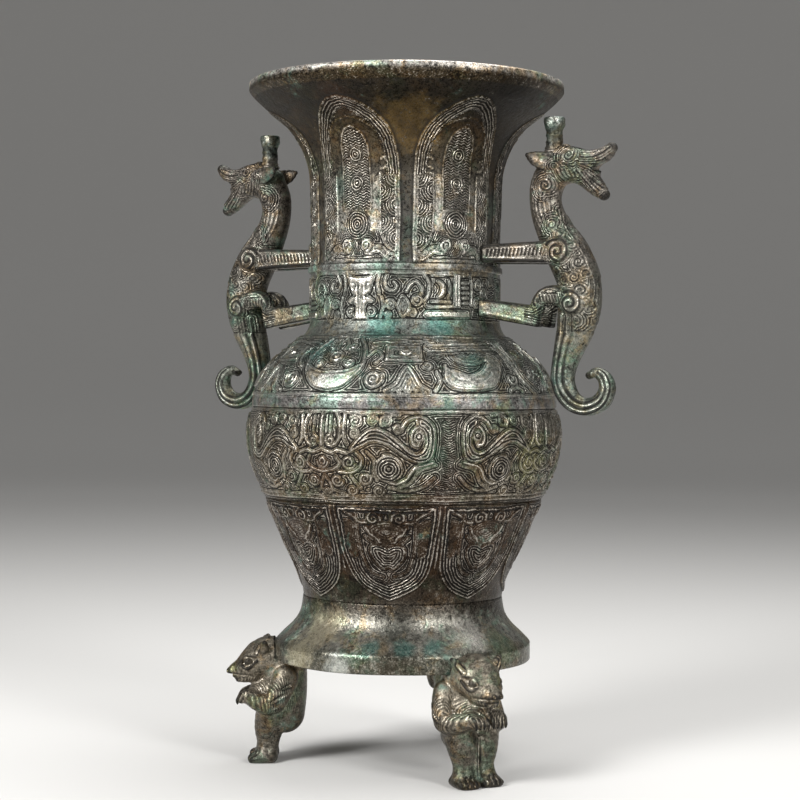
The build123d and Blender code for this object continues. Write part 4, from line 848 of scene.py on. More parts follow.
tall_leaf.ridge([(20.6, 324.0), (21.4, 329.0), (20.2, 336.0), (16.6, 343.4), (12.0, 349.0), (6.4, 353.0),
                 (0.0, 354.6)], 0.5, 0.8)
tongue_edge = [(9.2, 305.0), (9.0, 330.0), (8.4, 340.0), (6.2, 346.0), (3.0, 349.2), (0.0, 350.2)]
tongue = tall_leaf.depth_in(tongue_edge + [(-20.0, 350.2), (-20.0, 305.0)], straight=True)
tall_leaf.contours(tongue, [0.2], 0.5, 0.8)
ripple = tall_leaf.up[:, None] + 0.55 * np.cos(tall_leaf.across[None, :] * 1.5)
tall_leaf.score(ripple / 1.6, tongue > 0.7)
for rise, reach in ((298.0, 9.0), (320.0, 4.95), (335.0, 4.95)):
    gap = tall_leaf.gap_from((0.0, rise), squat=0.95)
    tall_leaf.score(gap / 1.6, gap < reach)
tall_leaf.curl((6.2, 286.6), 3.7, 1.7, 265, 1, 1.3, 1.6)
tall_leaf.ridge([(6.0, 282.8), (9.6, 282.6), (13.2, 283.4), (16.0, 282.2), (18.4, 280.0), (21.6, 278.2)],
                0.95, 1.15)
tall_leaf.ridge([(9.6, 285.4), (13.4, 286.0), (17.0, 284.6), (20.0, 282.2), (24.4, 280.6)], 0.5, 0.7)
throat = inside_of(flare_face)
neck_back = np.vstack([[(rim_radius - 3.2, rim_high), (rim_radius - 4.0, rim_high - 0.6)], throat])
channel = (tongue < -0.2) & (arch > 8.0) & (panel < -0.2) & tall_leaf.above(294.0)
tall_leaf.wear = np.where(arch < 0, -0.34, 0.06) + np.where((tongue > 0.5) | (panel > 0.4), 0.26, 0.0)
tall_leaf.wear -= np.where(channel & arched, 0.30, 0.0)
# Painted shade: the SHADED patches darken the right side of the neck and the flare above it, away from the
# key lamp; the others are stains.
SHADED = (0.010, 0.009, 0.008)
neck_stains_and_shade = [
    (-18, 77.0, 362, 34, SHADED),
    (8, 60.0, 340, 24, SHADED),
    (18, 54.0, 318, 21, SHADED),
    (18, 54.0, 292, 21, SHADED),
    (-60, 65.0, 351, 22, (0.205, 0.128, 0.040)),
    (-90, 76.0, 363, 16, (0.070, 0.034, 0.018)),
    (-100, 54.0, 320, 12, (0.110, 0.170, 0.140)),
    (60, 66.0, 352, 20, (0.205, 0.128, 0.040)),
]
neck_bronze = aged_bronze("neck_bronze", vessel_zones, green=0.25, earth=0.6, grit=1.5, stains_and_shade=neck_stains_and_shade)
neck_relief = tall_leaf.pressed(bare=(arch < 0) | channel)
ring("mouth_neck_cast", "mouth_neck", neck_face, neck_back, 792, neck_bronze, neck_relief)


# Handle beasts. Two climbing bronze creatures, cast solid and set into the neck and collar by
# their paws. Spiral bosses mark shoulder and hip; rubbing and painted shade lighten what stands out, and
# painted shade darkens the hollows.
class Clay:
    """A form built up from limbs on a fine grid. It is a mirror image of itself across y = 0.
    Each place holds its distance from the form, below zero inside it and never above a far one."""

    FAR = 9.0

    def __init__(self, low, high, step):
        self.step = step
        self.low = np.array(low, float)
        self.axes = [np.arange(a, b + step, step) for a, b in zip(low, high)]
        self.field = np.full([len(axis) for axis in self.axes], self.FAR)

    def patch(self, low, high):
        """The part of the grid between two corners, and its x, y and z."""
        cuts = tuple(slice(*np.searchsorted(axis, (a, b))) for axis, a, b in zip(self.axes, low, high))
        return cuts, *np.ix_(*(axis[cut] for axis, cut in zip(self.axes, cuts)))

    def join(self, cuts, shape, blend, carve=False):
        """Add a shape, or carve it away, with a rounded seam."""
        old = self.field[cuts]
        new = -shape if carve else shape
        sign = -1 if carve else 1
        share = np.clip(0.5 + 0.5 * sign * (old - new) / blend, 0, 1)
        self.field[cuts] = old + (new - old) * share - sign * blend * share * (1 - share)

    def limb(self, stations, blend=1.5, carve=False, step=3.0):
        """A limb through stations of x, y, z, half depth and half width."""
        line = flowing(stations, step)
        reach = line[:, 3:].max() + blend + 2.5
        low, high = line[:, :3].min(axis=0) - reach, line[:, :3].max(axis=0) + reach
        cuts, x, y, z = self.patch(low, high)
        shape = np.full((x.size, y.size, z.size), self.FAR)
        for a, b in zip(line, line[1:]):
            part, px, py, pz = self.patch(np.minimum(a, b)[:3] - reach, np.maximum(a, b)[:3] + reach)
            way = b[:3] - a[:3]
            share = (px - a[0]) * way[0] + (py - a[1]) * way[1] + (pz - a[2]) * way[2]
            share = np.clip(share / (way @ way + 1e-9), 0, 1)
            hx, hy, hz, deep, wide = (a[k] + share * (b[k] - a[k]) for k in range(5))
            gap = np.sqrt((px - hx) ** 2 + ((py - hy) * deep / wide) ** 2 + (pz - hz) ** 2) - deep
            spot = tuple(slice(p.start - c.start, p.stop - c.start) for p, c in zip(part, cuts))
            shape[spot] = np.minimum(shape[spot], gap)
        self.join(cuts, shape, blend, carve)

    def bar(self, start, end, half_high, half_wide, edge=0.8, blend=1.2):
        """A square bar in the handle's plane; half_high may differ at its two ends."""
        start, end = np.array(start, float), np.array(end, float)
        reach = max(half_high) + half_wide + 4
        cuts, x, y, z = self.patch(np.minimum(start, end) - reach, np.maximum(start, end) + reach)
        length = np.hypot(end[0] - start[0], end[2] - start[2])
        way = (end - start) / length
        along = (x - start[0]) * way[0] + (z - start[2]) * way[2]
        over = -(x - start[0]) * way[2] + (z - start[2]) * way[0]
        share = np.clip(along / length, 0, 1)
        high = half_high[0] + share * (half_high[1] - half_high[0])
        gaps = [np.abs(along - length / 2) - length / 2 + edge, np.abs(over) - high + edge,
                np.abs(y - start[1]) - half_wide + edge]
        outside = np.sqrt(sum(np.maximum(gap, 0) ** 2 for gap in np.broadcast_arrays(*gaps)))
        inside = np.minimum(np.maximum(np.maximum(gaps[0], gaps[1]), gaps[2]), 0)
        self.join(cuts, outside + inside - edge, blend)

    def trim(self, shape):
        """Cut a shape away, with a sharp edge."""
        self.field = np.maximum(self.field, -shape)

    def skin(self):
        """Points and quads of the surface with its other half, its shade, and its points smoothed."""
        both = np.concatenate([self.field[:, :0:-1], self.field], axis=1).astype(np.float32)
        volume = openvdb.FloatGrid(self.FAR)
        volume.copyFromArray(both)
        points, quads = volume.convertToQuads(0.0)
        middle = len(self.axes[1]) - 1
        points = points.astype(float) * self.step + self.low
        points[:, 1] -= self.low[1] + middle * self.step
        quads = quads[:, ::-1].astype(int)
        return points, quads, *hollows(points, quads)


CREST_SIZES = {2: 0.12, 11: 0.55}


def hollows(points, quads):
    """Painted shade of a modelled surface: above zero on its crests, below zero in its hollows. It is taken
    from how far smoothing moves the surface, after a few rounds for fine crests and many for broad ones."""
    edges = np.vstack([quads[:, [k, (k + 1) % 4]] for k in range(4)])
    count = np.bincount(edges.ravel(), minlength=len(points))[:, None]
    face = np.cross(points[quads[:, 2]] - points[quads[:, 0]], points[quads[:, 3]] - points[quads[:, 1]])
    normal = np.zeros_like(points)
    for k in range(4):
        for axis in range(3):
            normal[:, axis] += np.bincount(quads[:, k], face[:, axis], len(points))
    normal /= np.linalg.norm(normal, axis=1)[:, None] + 1e-12
    shade, smooth = 0, points
    for step in range(max(CREST_SIZES) + 1):
        total = np.zeros_like(points)
        for axis in range(3):
            total[:, axis] += np.bincount(edges[:, 0], smooth[edges[:, 1], axis], len(points))
            total[:, axis] += np.bincount(edges[:, 1], smooth[edges[:, 0], axis], len(points))
        smooth = total / count
        if step in CREST_SIZES:
            shade = shade - np.einsum("ij,ij->i", smooth - points, normal) / CREST_SIZES[step]
    return np.clip(0.34 * shade, -1, 0.8), smooth


def modelled(name, node, skin, turn, material, lines=None):
    """A casting from clay, turned to its place round the vessel. Lines are its line count and strength.
    Its texture places are laid out on the smoothed surface, which gives fewer and larger islands."""
    points, quads, shade, smooth = skin
    turn = np.radians(turn)
    spin = np.array([[np.cos(turn), -np.sin(turn), 0], [np.sin(turn), np.cos(turn), 0], [0, 0, 1]])
    finish = {"relief": shade}
    if lines:
        finish.update(zip(("count", "thread"), lines))
    piece = casting(name, points @ spin.T, quads, material, finish)
    mesh = piece.data
    shaped = np.empty(3 * len(points), np.float32)
    mesh.vertices.foreach_get("co", shaped)
    mesh.vertices.foreach_set("co", (smooth @ spin.T * MM).ravel())
    mesh.uv_layers.new(name="OFBake")
    bpy.context.view_layer.objects.active = piece
    piece.select_set(True)
    bpy.ops.object.mode_set(mode="EDIT")
    bpy.ops.mesh.select_all(action="SELECT")
    bpy.ops.uv.smart_project(angle_limit=1.15, island_margin=0.004)
    bpy.ops.object.mode_set(mode="OBJECT")
    piece.select_set(False)
    mesh.vertices.foreach_set("co", shaped)
    mesh.update()
    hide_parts(node)


HANDS = ("right", 0), ("left", 180)
FLANK = 8.0
BEAST_IN, BEAST_LOW, BEAST_HIGH = 50.0, 236.0, 344.0
HIP, SHOULDER = (107.0, 255.6), (99.0, 283.4)
beast = Clay((BEAST_IN, 0.0, BEAST_LOW), (131.0, 16.0, BEAST_HIGH), 0.5)
beast.limb([(104.0, 0, 241.5, 9.4, 7.6), (106.4, 0, 248.0, 11.4, 9.0), (107.6, 0, 256.5, 12.0, 10.2),
            (107.2, 0, 266.0, 12.0, 10.2), (104.2, 0, 275.0, 12.2, 9.8), (99.4, 0, 284.0, 12.0, 9.4),
            (93.4, 0, 293.5, 10.2, 8.6), (88.8, 0, 303.0, 9.2, 8.0), (86.8, 0, 311.5, 8.8, 7.6),
            (87.8, 0, 320.0, 9.4, 7.8), (92.4, 0, 327.2, 9.6, 8.2), (100.0, 0, 329.6, 9.4, 8.4),
            (108.0, 0, 329.0, 8.0, 7.0), (113.0, 0, 328.4, 6.4, 6.0)])
beast.limb([(107.0, 0, 332.6, 5.6, 6.4), (114.0, 0, 332.6, 4.7, 5.6), (119.4, 0, 333.8, 4.3, 5.0),
            (123.2, 0, 336.2, 3.8, 4.4), (125.4, 0, 338.2, 3.0, 3.6)], 2.0)
beast.limb([(107.0, 0, 326.4, 6.6, 6.4), (112.6, 0, 321.8, 5.6, 5.8), (117.0, 0, 317.4, 4.8, 5.0),
            (121.0, 0, 313.6, 3.2, 4.0)], 2.0)
beast.limb([(127.0, 0, 329.4, 2.0, 9.0), (121.0, 0, 328.6, 1.9, 9.0), (117.0, 0, 327.6, 1.0, 9.0)],
           1.0, carve=True)
beast.limb([(98.0, 6.4, 333.0, 3.0, 2.4), (92.6, 8.6, 331.8, 5.0, 2.0), (86.0, 10.2, 333.2, 4.2, 1.6),
            (81.2, 11.4, 335.4, 1.4, 0.9)], 1.0)
beast.limb([(94.6, 10.6, 332.2, 1.8, 1.5), (89.4, 11.6, 332.6, 2.8, 1.2), (84.8, 12.4, 334.0, 1.4, 0.9)],
           0.8, carve=True)
beast.limb([(99.0, 0, 339.2, 2.6, 3.6), (92.0, 0, 337.4, 3.0, 5.6), (86.0, 0, 332.0, 3.0, 4.6)], 2.0)
beast.bar((BEAST_IN, FLANK, 283.2), (99.0, FLANK, 283.4), (4.7, 6.0), 3.2)
beast.limb([(107.0, FLANK, 255.6, 6.4, 4.4), (99.0, FLANK, 259.8, 5.6, 4.0), (91.4, FLANK, 260.2, 4.6, 3.6),
            (87.6, FLANK, 257.0, 4.2, 3.4), (85.6, FLANK, 251.4, 4.2, 3.4)], 1.4)
beast.bar((BEAST_IN, FLANK, 254.0), (88.8, FLANK, 248.4), (4.6, 5.6), 3.6, 1.0)
for (out, up), reach in ((SHOULDER, 8.2), (HIP, 7.6)):
    beast.limb([(out, 7.0, up, reach, 4.6), (out, 7.2, up, reach, 4.6)], 0.8)
for crest in (0.0, 3.2):
    beast.limb([(98.0, crest, 340.0, 0.9, 0.7), (106.0, crest, 338.6, 0.9, 0.8),
                (114.0, crest * 0.9, 336.6, 0.8, 0.7), (122.0, crest * 0.7, 338.0, 0.7, 0.6)], 0.6)

# Scrolls on the flanks, drawn on a flat mould where a degree is a millimetre.
RIDGES = (-5.6, -1.6, 2.4)
MM_PER_DEGREE = 180 / np.pi
flank_face = np.array([(MM_PER_DEGREE, BEAST_LOW), (MM_PER_DEGREE, BEAST_HIGH)])
flank = Mould(flank_face, 82.0, BEAST_LOW, BEAST_HIGH, stroke=1.0)


def flank_line(points, wide, high):
    flank.ridge([(out - BEAST_IN, up) for out, up in points], wide, high)


def flank_curl(middle, reach, turns, start, wide, high):
    flank.curl((middle[0] - BEAST_IN, middle[1]), reach, turns, start, -1, wide, high)


for boss, reach, start in ((SHOULDER, 7.0, 150), (HIP, 6.6, 120)):
    flank_curl(boss, reach, 1.9, start, 0.9, 1.1)
    flank_curl(boss, reach * 1.1, 1.0, start, 0.6, 0.7)
for out, up, reach, start in ((90.2, 319.4, 3.6, 60), (94.4, 298.0, 2.4, 120), (110.2, 277.6, 3.0, 60),
                              (112.0, 262.4, 3.2, 200), (103.4, 335.0, 3.0, 30), (102.4, 268.0, 2.6, 300),
                              (97.6, 273.0, 1.8, 0), (106.4, 286.4, 2.2, 90), (108.4, 269.4, 2.6, 20),
                              (114.4, 271.6, 1.8, 240), (98.6, 292.8, 1.9, 10), (114.8, 256.0, 2.0, 140),
                              (109.4, 246.4, 2.4, 70)):
    flank_curl((out, up), reach, 1.7, start, 0.62, 0.85)
    flank_curl((out, up), 1.5 * reach, 0.6, start + 180, 0.45, 0.5)
for shift in (0.0, 2.2, 4.4, 6.6, 8.8, 11.0):
    mane = [(82.0 + shift, 317.0), (81.6 + shift, 309.0), (84.0 + shift, 301.0), (88.6 + shift, 293.6)]
    flank_line(mane, 0.42, 0.4)
for shift in (0.0, 2.4, 4.8):
    jaw = [(108.0 + shift, 326.6 - 0.4 * shift), (112.6 + shift * 0.8, 321.0),
           (118.4 + 0.7 * shift, 314.4 + 0.5 * shift)]
    flank_line(jaw, 0.55, 0.7)
for shift in (0.0, 2.6, 5.2, 7.8, 10.4):
    cheek = [(96.0 + shift, 329.0 - 0.3 * shift), (97.6 + shift, 324.6 - 0.2 * shift),
             (99.8 + shift, 321.4 + 0.2 * shift)]
    flank_line(cheek, 0.5, 0.55)
flank_line([(110.0, 333.6), (116.0, 333.4), (121.4, 335.0), (125.6, 338.0)], 0.55, 0.7)
flank_line([(110.0, 336.0), (116.0, 335.8), (121.0, 337.4)], 0.5, 0.6)
flank_line([(55.0, 286.8), (74.0, 287.6), (91.0, 288.0)], 0.7, 0.5)
flank_line([(55.0, 280.0), (74.0, 279.2), (91.0, 278.4)], 0.9, 0.7)
for bead in np.arange(57.0, 91.0, 2.3):
    flank_line([(bead, 281.8), (bead + 0.9, 285.4)], 0.62, 0.6)
for stripe in np.arange(89.0, 100.0, 1.9):
    flank_line([(stripe, 263.6 - 0.04 * stripe), (stripe + 0.7, 256.6)], 0.5, 0.6)
flank_line([(100.6, 263.4), (94.0, 264.4), (88.4, 262.0), (85.4, 257.0), (86.6, 254.6)], 0.7, 0.9)
flank_line([(55.4, 257.6), (70.0, 255.6), (85.0, 253.2)], 0.6, 0.45)
flank_line([(55.4, 250.4), (70.0, 248.0), (87.0, 244.4)], 0.6, 0.45)
for shift in RIDGES:
    flank_line([(105.0 + shift, 249.0), (104.4 + shift, 244.0), (104.0 + shift, 238.0)], 0.7, 0.8)
flank_line([(117.6, 270.0), (114.0, 279.0), (108.6, 288.0), (102.0, 296.6), (98.4, 306.0)], 0.6, 0.65)
flank_line([(115.4, 252.0), (117.0, 260.0), (116.6, 268.0)], 0.6, 0.6)
carving = flank.soften(flank.height, 0.2)
x, y, z = np.ix_(*beast.axes)
beast.field -= flank.sample(carving, x - BEAST_IN, z - BEAST_LOW) * np.clip(y / 3.0, 0, 1)

# Where the paws meet the wall, where the horn is pegged in, and where the tail begins.
NECK_FIT, COLLAR_FIT = 54.9, 53.6
HORN_OUT, HORN_FIT = 91.8, 5.2
horn_seat = level("horn_right") + 5.0
beast.trim(np.hypot(x, y) - np.where(z > neck_low, NECK_FIT, COLLAR_FIT))
beast.trim(np.maximum(np.hypot(x - HORN_OUT, y) - HORN_FIT, horn_seat - z))
RUMP_END = 239.9
beast.trim(z - RUMP_END)

handle_zones = [
    (0.190, (0.130, 0.150, 0.128)),
    (0.240, (0.150, 0.148, 0.122)),
    (0.268, (0.150, 0.142, 0.120)),
    (0.283, (0.120, 0.108, 0.091)),
    (0.300, (0.140, 0.126, 0.106)),
    (0.338, (0.150, 0.132, 0.112)),
    (0.345, (0.095, 0.110, 0.096)),
    (0.380, (0.085, 0.112, 0.100)),
]
handle_stains = [
    (0, 106, 250, 9, (0.120, 0.075, 0.035)),
    (180, 106, 250, 9, (0.120, 0.075, 0.035)),
    (0, 97, 215, 9, TEAL),
    (0, 97, 340, 9, (0.150, 0.100, 0.045)),
    (180, 97, 340, 9, (0.150, 0.100, 0.045)),
    (180, 97, 222, 9, TEAL),
]
handle_bronze = aged_bronze("handle_bronze", handle_zones, green=0.45, rubbed=(0.50, 0.46, 0.41),
                            stains_and_shade=handle_stains)
beast_skin = beast.skin()
out, aside, up = beast_skin[0].T
echo = flank.sample(flank.spacing(), out - BEAST_IN, up - BEAST_LOW)
coat = (echo > 0.6) & (echo < 5.0) & (out > 80)
beast_lines = echo / 1.3, 0.55 * coat * np.clip((np.abs(aside) - 2.0) / 3.0, 0, 1)
for hand, turn in HANDS:
    modelled("beast_" + hand, "handle_beast_" + hand, beast_skin, turn, handle_bronze,
             beast_lines)


# Tails. Each hangs from its beast's rump as a separate casting, pegged on where the coat ends.
# Three ridges run down it, and it swings outwards at the foot and curls up to a rolled tip.
tail = Clay((89.0, 0.0, 194.0), (130.5, 10.0, 246.0), 0.45)
tail.limb([(105.2, 0, 242.4, 10.4, 8.2), (102.0, 0, 233.4, 8.8, 6.9), (99.2, 0, 224.0, 7.2, 5.8),
           (98.0, 0, 216.0, 6.6, 5.4), (99.7, 0, 209.5, 6.0, 5.2), (103.6, 0, 203.8, 5.4, 5.0),
           (109.2, 0, 200.8, 5.0, 4.8), (115.6, 0, 201.0, 4.9, 4.6), (121.0, 0, 204.4, 4.8, 4.4),
           (123.6, 0, 210.0, 4.5, 4.2), (122.4, 0, 215.6, 3.9, 3.8), (118.0, 0, 218.8, 3.0, 3.2),
           (113.6, 0, 217.4, 2.2, 2.6)], 1.0, step=1.5)
for shift, wide in zip(RIDGES, (6.4, 7.0, 6.6)):
    ridge_line = [(104.0 + shift, wide + 0.6, 239.6), (101.4 + 0.9 * shift, wide - 0.4, 232.0),
                  (99.0 + 0.8 * shift, wide - 1.2, 223.0), (98.4 + 0.8 * shift, wide - 1.5, 215.0),
                  (100.8 + 0.7 * shift, wide - 1.7, 208.0 + 0.4 * shift),
                  (106.0 + 0.4 * shift, wide - 1.9, 202.8 + 0.66 * shift),
                  (113.0, wide - 2.1, 201.0 + 0.72 * shift),
                  (120.4 - 0.40 * shift, wide - 2.4, 204.0 + 0.52 * shift),
                  (123.6 - 0.56 * shift, wide - 2.8, 210.0),
                  (122.4 - 0.40 * shift, wide - 3.2, 215.4 - 0.34 * shift),
                  (119.4 - 0.16 * shift, wide - 3.8, 218.4 - 0.40 * shift)]
    girth = np.interp(np.arange(len(ridge_line)), (0, 6, len(ridge_line) - 1), (0.9, 0.85, 0.3))
    tail.limb([(*spot, g, 1.1 * g) for spot, g in zip(ridge_line, girth)], 0.7, step=2.0)
tail.limb([(113.4, 2.0, 217.6, 1.2, 1.8), (114.6, 2.0, 217.8, 1.2, 1.8)], 0.8)
TAIL_END = 241.4
tail.trim(TAIL_END - np.ix_(*tail.axes)[2])
tail_skin = tail.skin()
for hand, turn in HANDS:
    modelled("tail_" + hand + "_cast", "tail_" + hand, tail_skin, turn, handle_bronze)


# Horns. A turned bronze post stands on each beast's head, pegged in, with rings round its stem.
# It has a flared foot and a thick cap with a shallow dish in the top.
PEG = 3.0
SIDES = 40
stem = [(2.2, -4.8), (2.3, -0.2), (5.0, 0.0), (5.0, 0.8), (4.5, 1.6), (4.7, 2.4), (4.2, 3.2), (4.1, 5.0),
        (4.4, 5.6), (4.1, 6.2), (4.0, 8.4), (4.3, 9.0), (4.0, 9.6), (4.0, 11.6), (4.3, 12.4), (4.9, 14.0),
        (5.2, 15.2), (5.2, 18.0), (4.8, 18.9), (4.0, 19.0)]
dish = [(3.0, 18.2), (1.6, 17.6), (0.3, 17.5), (0.2, -4.8)]
post = np.vstack([flowing(stem, 0.5), dish])
radius, rise = post[:, :1], post[:, 1:]
angle = np.arange(SIDES) * FULL_TURN / SIDES
chip = 0.12 * np.sin(5 * angle + 0.8 * rise) + 0.08 * np.sin(3 * angle - 1.7 * rise)
reach = radius * np.where(radius > PEG, 1.10, 1.0) + chip * (radius > PEG)
post_points = np.stack([reach * np.cos(angle), reach * np.sin(angle), rise + 0 * reach], axis=-1)
# Painted shade by thickness: the proud rings and cap are lighter and rubbed, and the thin stem between them
# is darker.
thickness_shade = np.repeat(np.clip((post[:, 0] - 4.4) * 0.6, -0.6, 0.5), SIDES)
quads, uv = lattice(len(post), SIDES)
for hand, turn in HANDS:
    seat = (HORN_OUT * np.cos(np.radians(turn)), 0.0, horn_seat)
    piece = casting("horn_" + hand + "_cast", (post_points + seat).reshape(-1, 3), quads, handle_bronze,
                    {"relief": thickness_shade}, uv)
    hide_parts("horn_" + hand)


# Bear feet. Three squatting bronze bears carry the foot ring on their backs, each a solid casting
# pegged into it. Their heads stand out past the ring's edge, and their paws meet at the chest.
bear = Clay((48.0, 0.0, -1.0), (102.5, 23.0, 73.0), 0.45)
bear.limb([(66.0, 0, 26.6, 11.4, 13.4), (66.4, 0, 36.0, 12.8, 14.4), (65.6, 0, 48.0, 12.2, 13.6),
           (65.0, 0, 60.0, 10.8, 12.0)], 2.0)
bear.limb([(72.0, 0, 40.0, 10.0, 11.0), (78.6, 0, 38.4, 7.6, 9.4)], 2.0)
bear.limb([(70.0, 0, 57.6, 11.8, 12.6), (77.0, 0, 57.2, 11.6, 12.4), (83.0, 0, 54.4, 9.2, 10.4),
           (88.6, 0, 51.4, 6.4, 7.8), (92.6, 0, 50.0, 4.4, 5.8), (95.4, 0, 49.4, 3.0, 4.8)], 2.0)
bear.limb([(82.0, 0, 47.2, 3.6, 7.2), (87.4, 0, 46.0, 2.8, 6.0), (91.8, 0, 45.4, 2.0, 4.6)], 1.4)
bear.limb([(87.0, 7.8, 48.0, 0.5, 1.4), (92.6, 5.0, 47.6, 1.0, 2.4), (99.0, 0.0, 47.4, 1.9, 3.8)],
          0.5, carve=True)
bear.limb([(75.0, 0, 68.6, 1.1, 5.6), (80.0, 0, 66.2, 1.4, 5.2), (86.0, 0, 61.2, 1.5, 4.4),
           (91.0, 0, 56.0, 1.4, 3.6), (95.8, 0, 51.8, 1.4, 3.6)], 0.3, step=2.0)
bear.limb([(96.2, 0, 50.6, 1.7, 3.8), (97.2, 0, 49.8, 1.6, 3.4)], 0.8)
bear.limb([(97.0, 2.0, 50.4, 0.7, 0.8), (98.8, 2.2, 49.8, 0.6, 0.7)], 0.4, carve=True)
bear.limb([(79.0, 8.8, 60.0, 4.2, 2.8), (77.8, 12.2, 64.0, 3.6, 2.2), (76.6, 15.0, 67.4, 1.4, 1.0)], 1.0)
bear.limb([(81.8, 10.8, 61.6, 1.6, 1.2), (80.2, 13.4, 65.0, 1.3, 1.0)], 0.6, carve=True)
bear.limb([(89.4, 7.0, 55.0, 1.2, 1.4), (85.6, 9.4, 56.4, 2.4, 2.2), (81.6, 11.8, 58.0, 1.4, 1.4)],
          0.6, carve=True, step=1.5)
bear.limb([(85.8, 7.6, 55.8, 2.6, 2.6), (85.81, 7.61, 55.81, 2.6, 2.6)], 0.3)
for lid in ([(90.6, 5.4, 54.6), (87.0, 7.2, 59.0), (80.6, 10.8, 59.4)],
            [(90.6, 6.0, 53.6), (86.0, 9.8, 52.4), (80.8, 11.6, 56.8)]):
    bear.limb([(*spot, 1.0, 1.0) for spot in lid], 0.3, step=1.2)
bear.limb([(65.0, 12.4, 48.0, 7.0, 5.6), (67.6, 15.6, 41.0, 6.6, 5.0), (71.6, 16.2, 34.0, 6.0, 4.8),
           (78.6, 13.0, 34.0, 5.4, 4.8), (84.6, 8.2, 36.2, 4.6, 4.6), (88.0, 6.0, 36.0, 3.6, 4.8),
           (89.8, 5.4, 34.4, 2.2, 4.4)], 1.2)
for claw in range(4):
    side = 9.4 - 2.5 * claw
    bear.limb([(86.0, side + 0.8, 39.6, 0.8, 0.9), (90.0, side, 37.6, 1.0, 1.0),
               (92.0, side - 0.2, 34.6, 0.9, 0.9), (91.8, side - 0.3, 32.6, 0.5, 0.5)], 0.3, step=1.0)
for up, side in ((46.0, 16.6), (42.0, 18.8), (38.0, 20.2), (34.0, 20.8), (30.0, 20.4)):
    tuft = [(62.0, side - 0.8, up + 2.4, 0.7, 0.9), (67.0, side + 0.4, up, 0.9, 1.0),
            (72.0, side, up - 3.0, 0.7, 0.9)]
    bear.limb(tuft, 0.6, carve=True, step=2.0)
bear.limb([(72.0, 7.4, 28.0, 9.8, 8.8), (74.2, 6.6, 19.5, 8.2, 7.4), (74.8, 6.0, 11.5, 6.2, 5.8),
           (75.8, 6.4, 5.4, 6.0, 6.4)], 1.6)
bear.limb([(73.0, 6.9, 3.0, 3.8, 7.0), (79.0, 7.0, 2.6, 3.8, 7.2), (83.2, 7.0, 2.0, 2.8, 6.8)], 1.6)
bear.limb([(76.0, 0, 24.0, 4.6, 4.0), (77.0, 0, 13.0, 4.0, 3.4), (78.0, 0, 5.0, 3.4, 2.8)], 1.6)
for toe in range(4):
    bear.limb([(80.0, 2.8 + 2.9 * toe, 6.0, 0.6, 0.5), (84.4, 2.6 + 3.1 * toe, 4.0, 0.7, 0.5),
               (87.0, 2.4 + 3.3 * toe, 0.4, 0.7, 0.5)], 0.6, carve=True)
bear.limb([(81.0, 0, 27.0, 0.8, 0.5), (80.4, 0, 14.0, 0.9, 0.5), (83.0, 0, -2.0, 1.6, 0.8)], 0.8, carve=True)
SEAT_GAP, SOLE = 0.15, 0.05
x, y, z = np.ix_(*bear.axes)
bear.trim(np.maximum(np.hypot(x, y) - foot_radius - SEAT_GAP, foot_low - z))
bear.trim(z - SOLE)
bear_zones = [
    (0.000, (0.120, 0.108, 0.088)),
    (0.026, (0.105, 0.092, 0.072)),
    (0.042, (0.205, 0.180, 0.140)),
    (0.100, (0.240, 0.212, 0.166)),
]
bear_bronze = aged_bronze("bear_bronze", bear_zones, green=0.4, cloudy=0.8)
bear_skin = bear.skin()
out, aside, up = bear_skin[0].T
fur = (0.62 * out + 0.5 * np.abs(aside) + 0.4 * np.sin(0.5 * up)) / 0.85
bear_lines = fur, 0.30 * np.clip((50.0 - up) / 6.0, 0, 1) * np.clip((up - 27.0) / 4.0, 0, 1)
for place, turn in (("front_right", -30), ("back", 90), ("front_left", 210)):
    modelled("bear_" + place, "bear_foot_" + place, bear_skin, turn, bear_bronze, bear_lines)


# Stage. A wide sheet of pale paper under the vessel that curves up far away on all sides, lit by
# three soft boxes, with the camera where the photograph was taken from.
FACETS = 96
sheet_line = [(2.2, 0.0), (3.2, 0.06), (4.2, 0.36), (5.0, 0.96), (5.5, 1.8), (5.8, 3.0)]
sheet = np.vstack([[(1.0, 0.0)], flowing(sheet_line, 0.12)])
angle = np.arange(FACETS) * FULL_TURN / FACETS
sheet_points = np.stack([sheet[:, :1] * np.cos(angle), sheet[:, :1] * np.sin(angle),
                         sheet[:, 1:] + 0 * angle], axis=-1)
sheet_quads = lattice(len(sheet), FACETS)[0][:-FACETS, ::-1]
floor_mesh = bpy.data.meshes.new("studio_floor")
floor_mesh.from_pydata(sheet_points.reshape(-1, 3).tolist(), [], sheet_quads.tolist() + [list(range(FACETS))])
floor_mesh.shade_smooth()
studio_floor = bpy.data.objects.new("studio_floor", floor_mesh)
bpy.context.collection.objects.link(studio_floor)
paper = bpy.data.materials.new("studio_paper")
paper.use_nodes = True
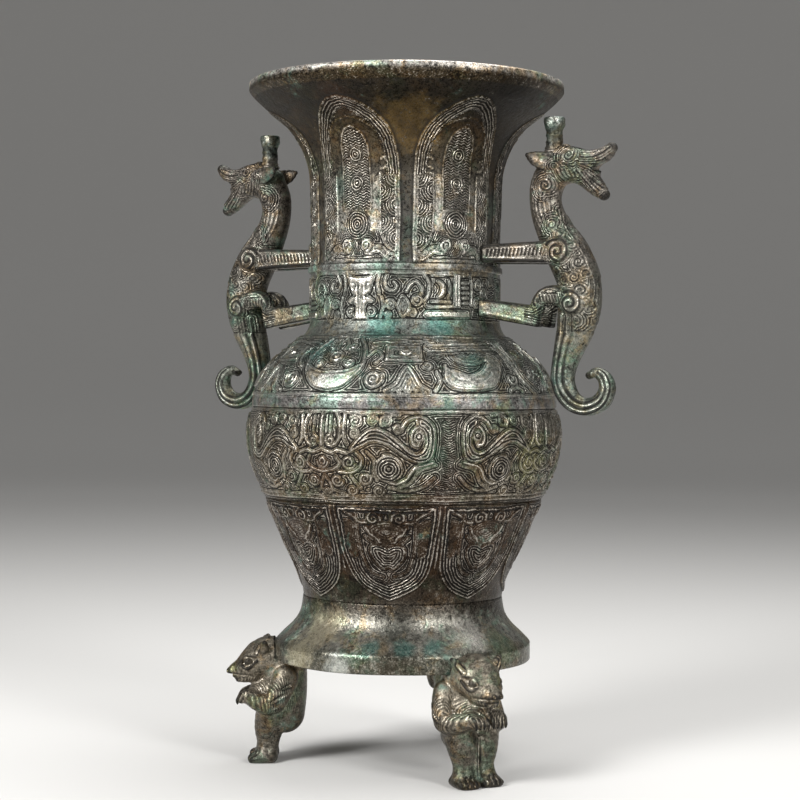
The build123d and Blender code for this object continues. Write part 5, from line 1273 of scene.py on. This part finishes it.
paper_sockets = paper.node_tree.nodes["Principled BSDF"].inputs
paper_sockets["Base Color"].default_value = (0.72, 0.71, 0.69, 1)
paper_sockets["Roughness"].default_value = 0.9
floor_mesh.materials.append(paper)
world = bpy.context.scene.world or bpy.data.worlds.new("studio")
bpy.context.scene.world = world
world.use_nodes = True
sky_sockets = world.node_tree.nodes["Background"].inputs
sky_sockets["Color"].default_value = (0.8, 0.8, 0.8, 1)
sky_sockets["Strength"].default_value = 0.23
LIT_SPOT = Vector((0, 0, 0.2))


def softbox(name, place, size, watts):
    """A square soft lamp that faces the vessel."""
    lamp = bpy.data.lights.new(name, "AREA")
    lamp.shape = "RECTANGLE"
    lamp.size, lamp.size_y = size
    lamp.energy = watts
    holder = bpy.data.objects.new(name, lamp)
    bpy.context.collection.objects.link(holder)
    holder.location = place
    holder.rotation_euler = (LIT_SPOT - Vector(place)).to_track_quat("-Z", "Y").to_euler()


softbox("key_light", (-0.40, -1.30, 0.90), (0.5, 0.8), 26)
softbox("fill_light", (1.42, -0.56, 0.80), (0.4, 0.9), 15)
softbox("top_light", (0.1, 0.3, 1.3), (1.0, 0.8), 12)

PICTURE, FOCAL, MIDDLE = 800, 1900, (404.5, 375)
AZIMUTH, ROLL = 29.5, 0.45
DISTANCE, EYE = 1.070, 0.2168
camera_data = bpy.data.cameras.new("camera")
camera_data.sensor_width = 36.0
camera_data.lens = camera_data.sensor_width * FOCAL / PICTURE
camera = bpy.data.objects.new("camera", camera_data)
bpy.context.collection.objects.link(camera)
turn = np.radians(AZIMUTH)
camera.location = (DISTANCE * np.sin(turn), -DISTANCE * np.cos(turn), EYE)
aim = Vector((0, 0, EYE)) - camera.location
camera.rotation_euler = (aim.to_track_quat("-Z", "Y") @ Quaternion((0, 0, 1), np.radians(ROLL))).to_euler()
camera_data.shift_x = (PICTURE / 2 - MIDDLE[0]) / PICTURE
camera_data.shift_y = (MIDDLE[1] - PICTURE / 2) / PICTURE
bpy.context.scene.camera = camera
bpy.context.scene.view_settings.view_transform = "Standard"
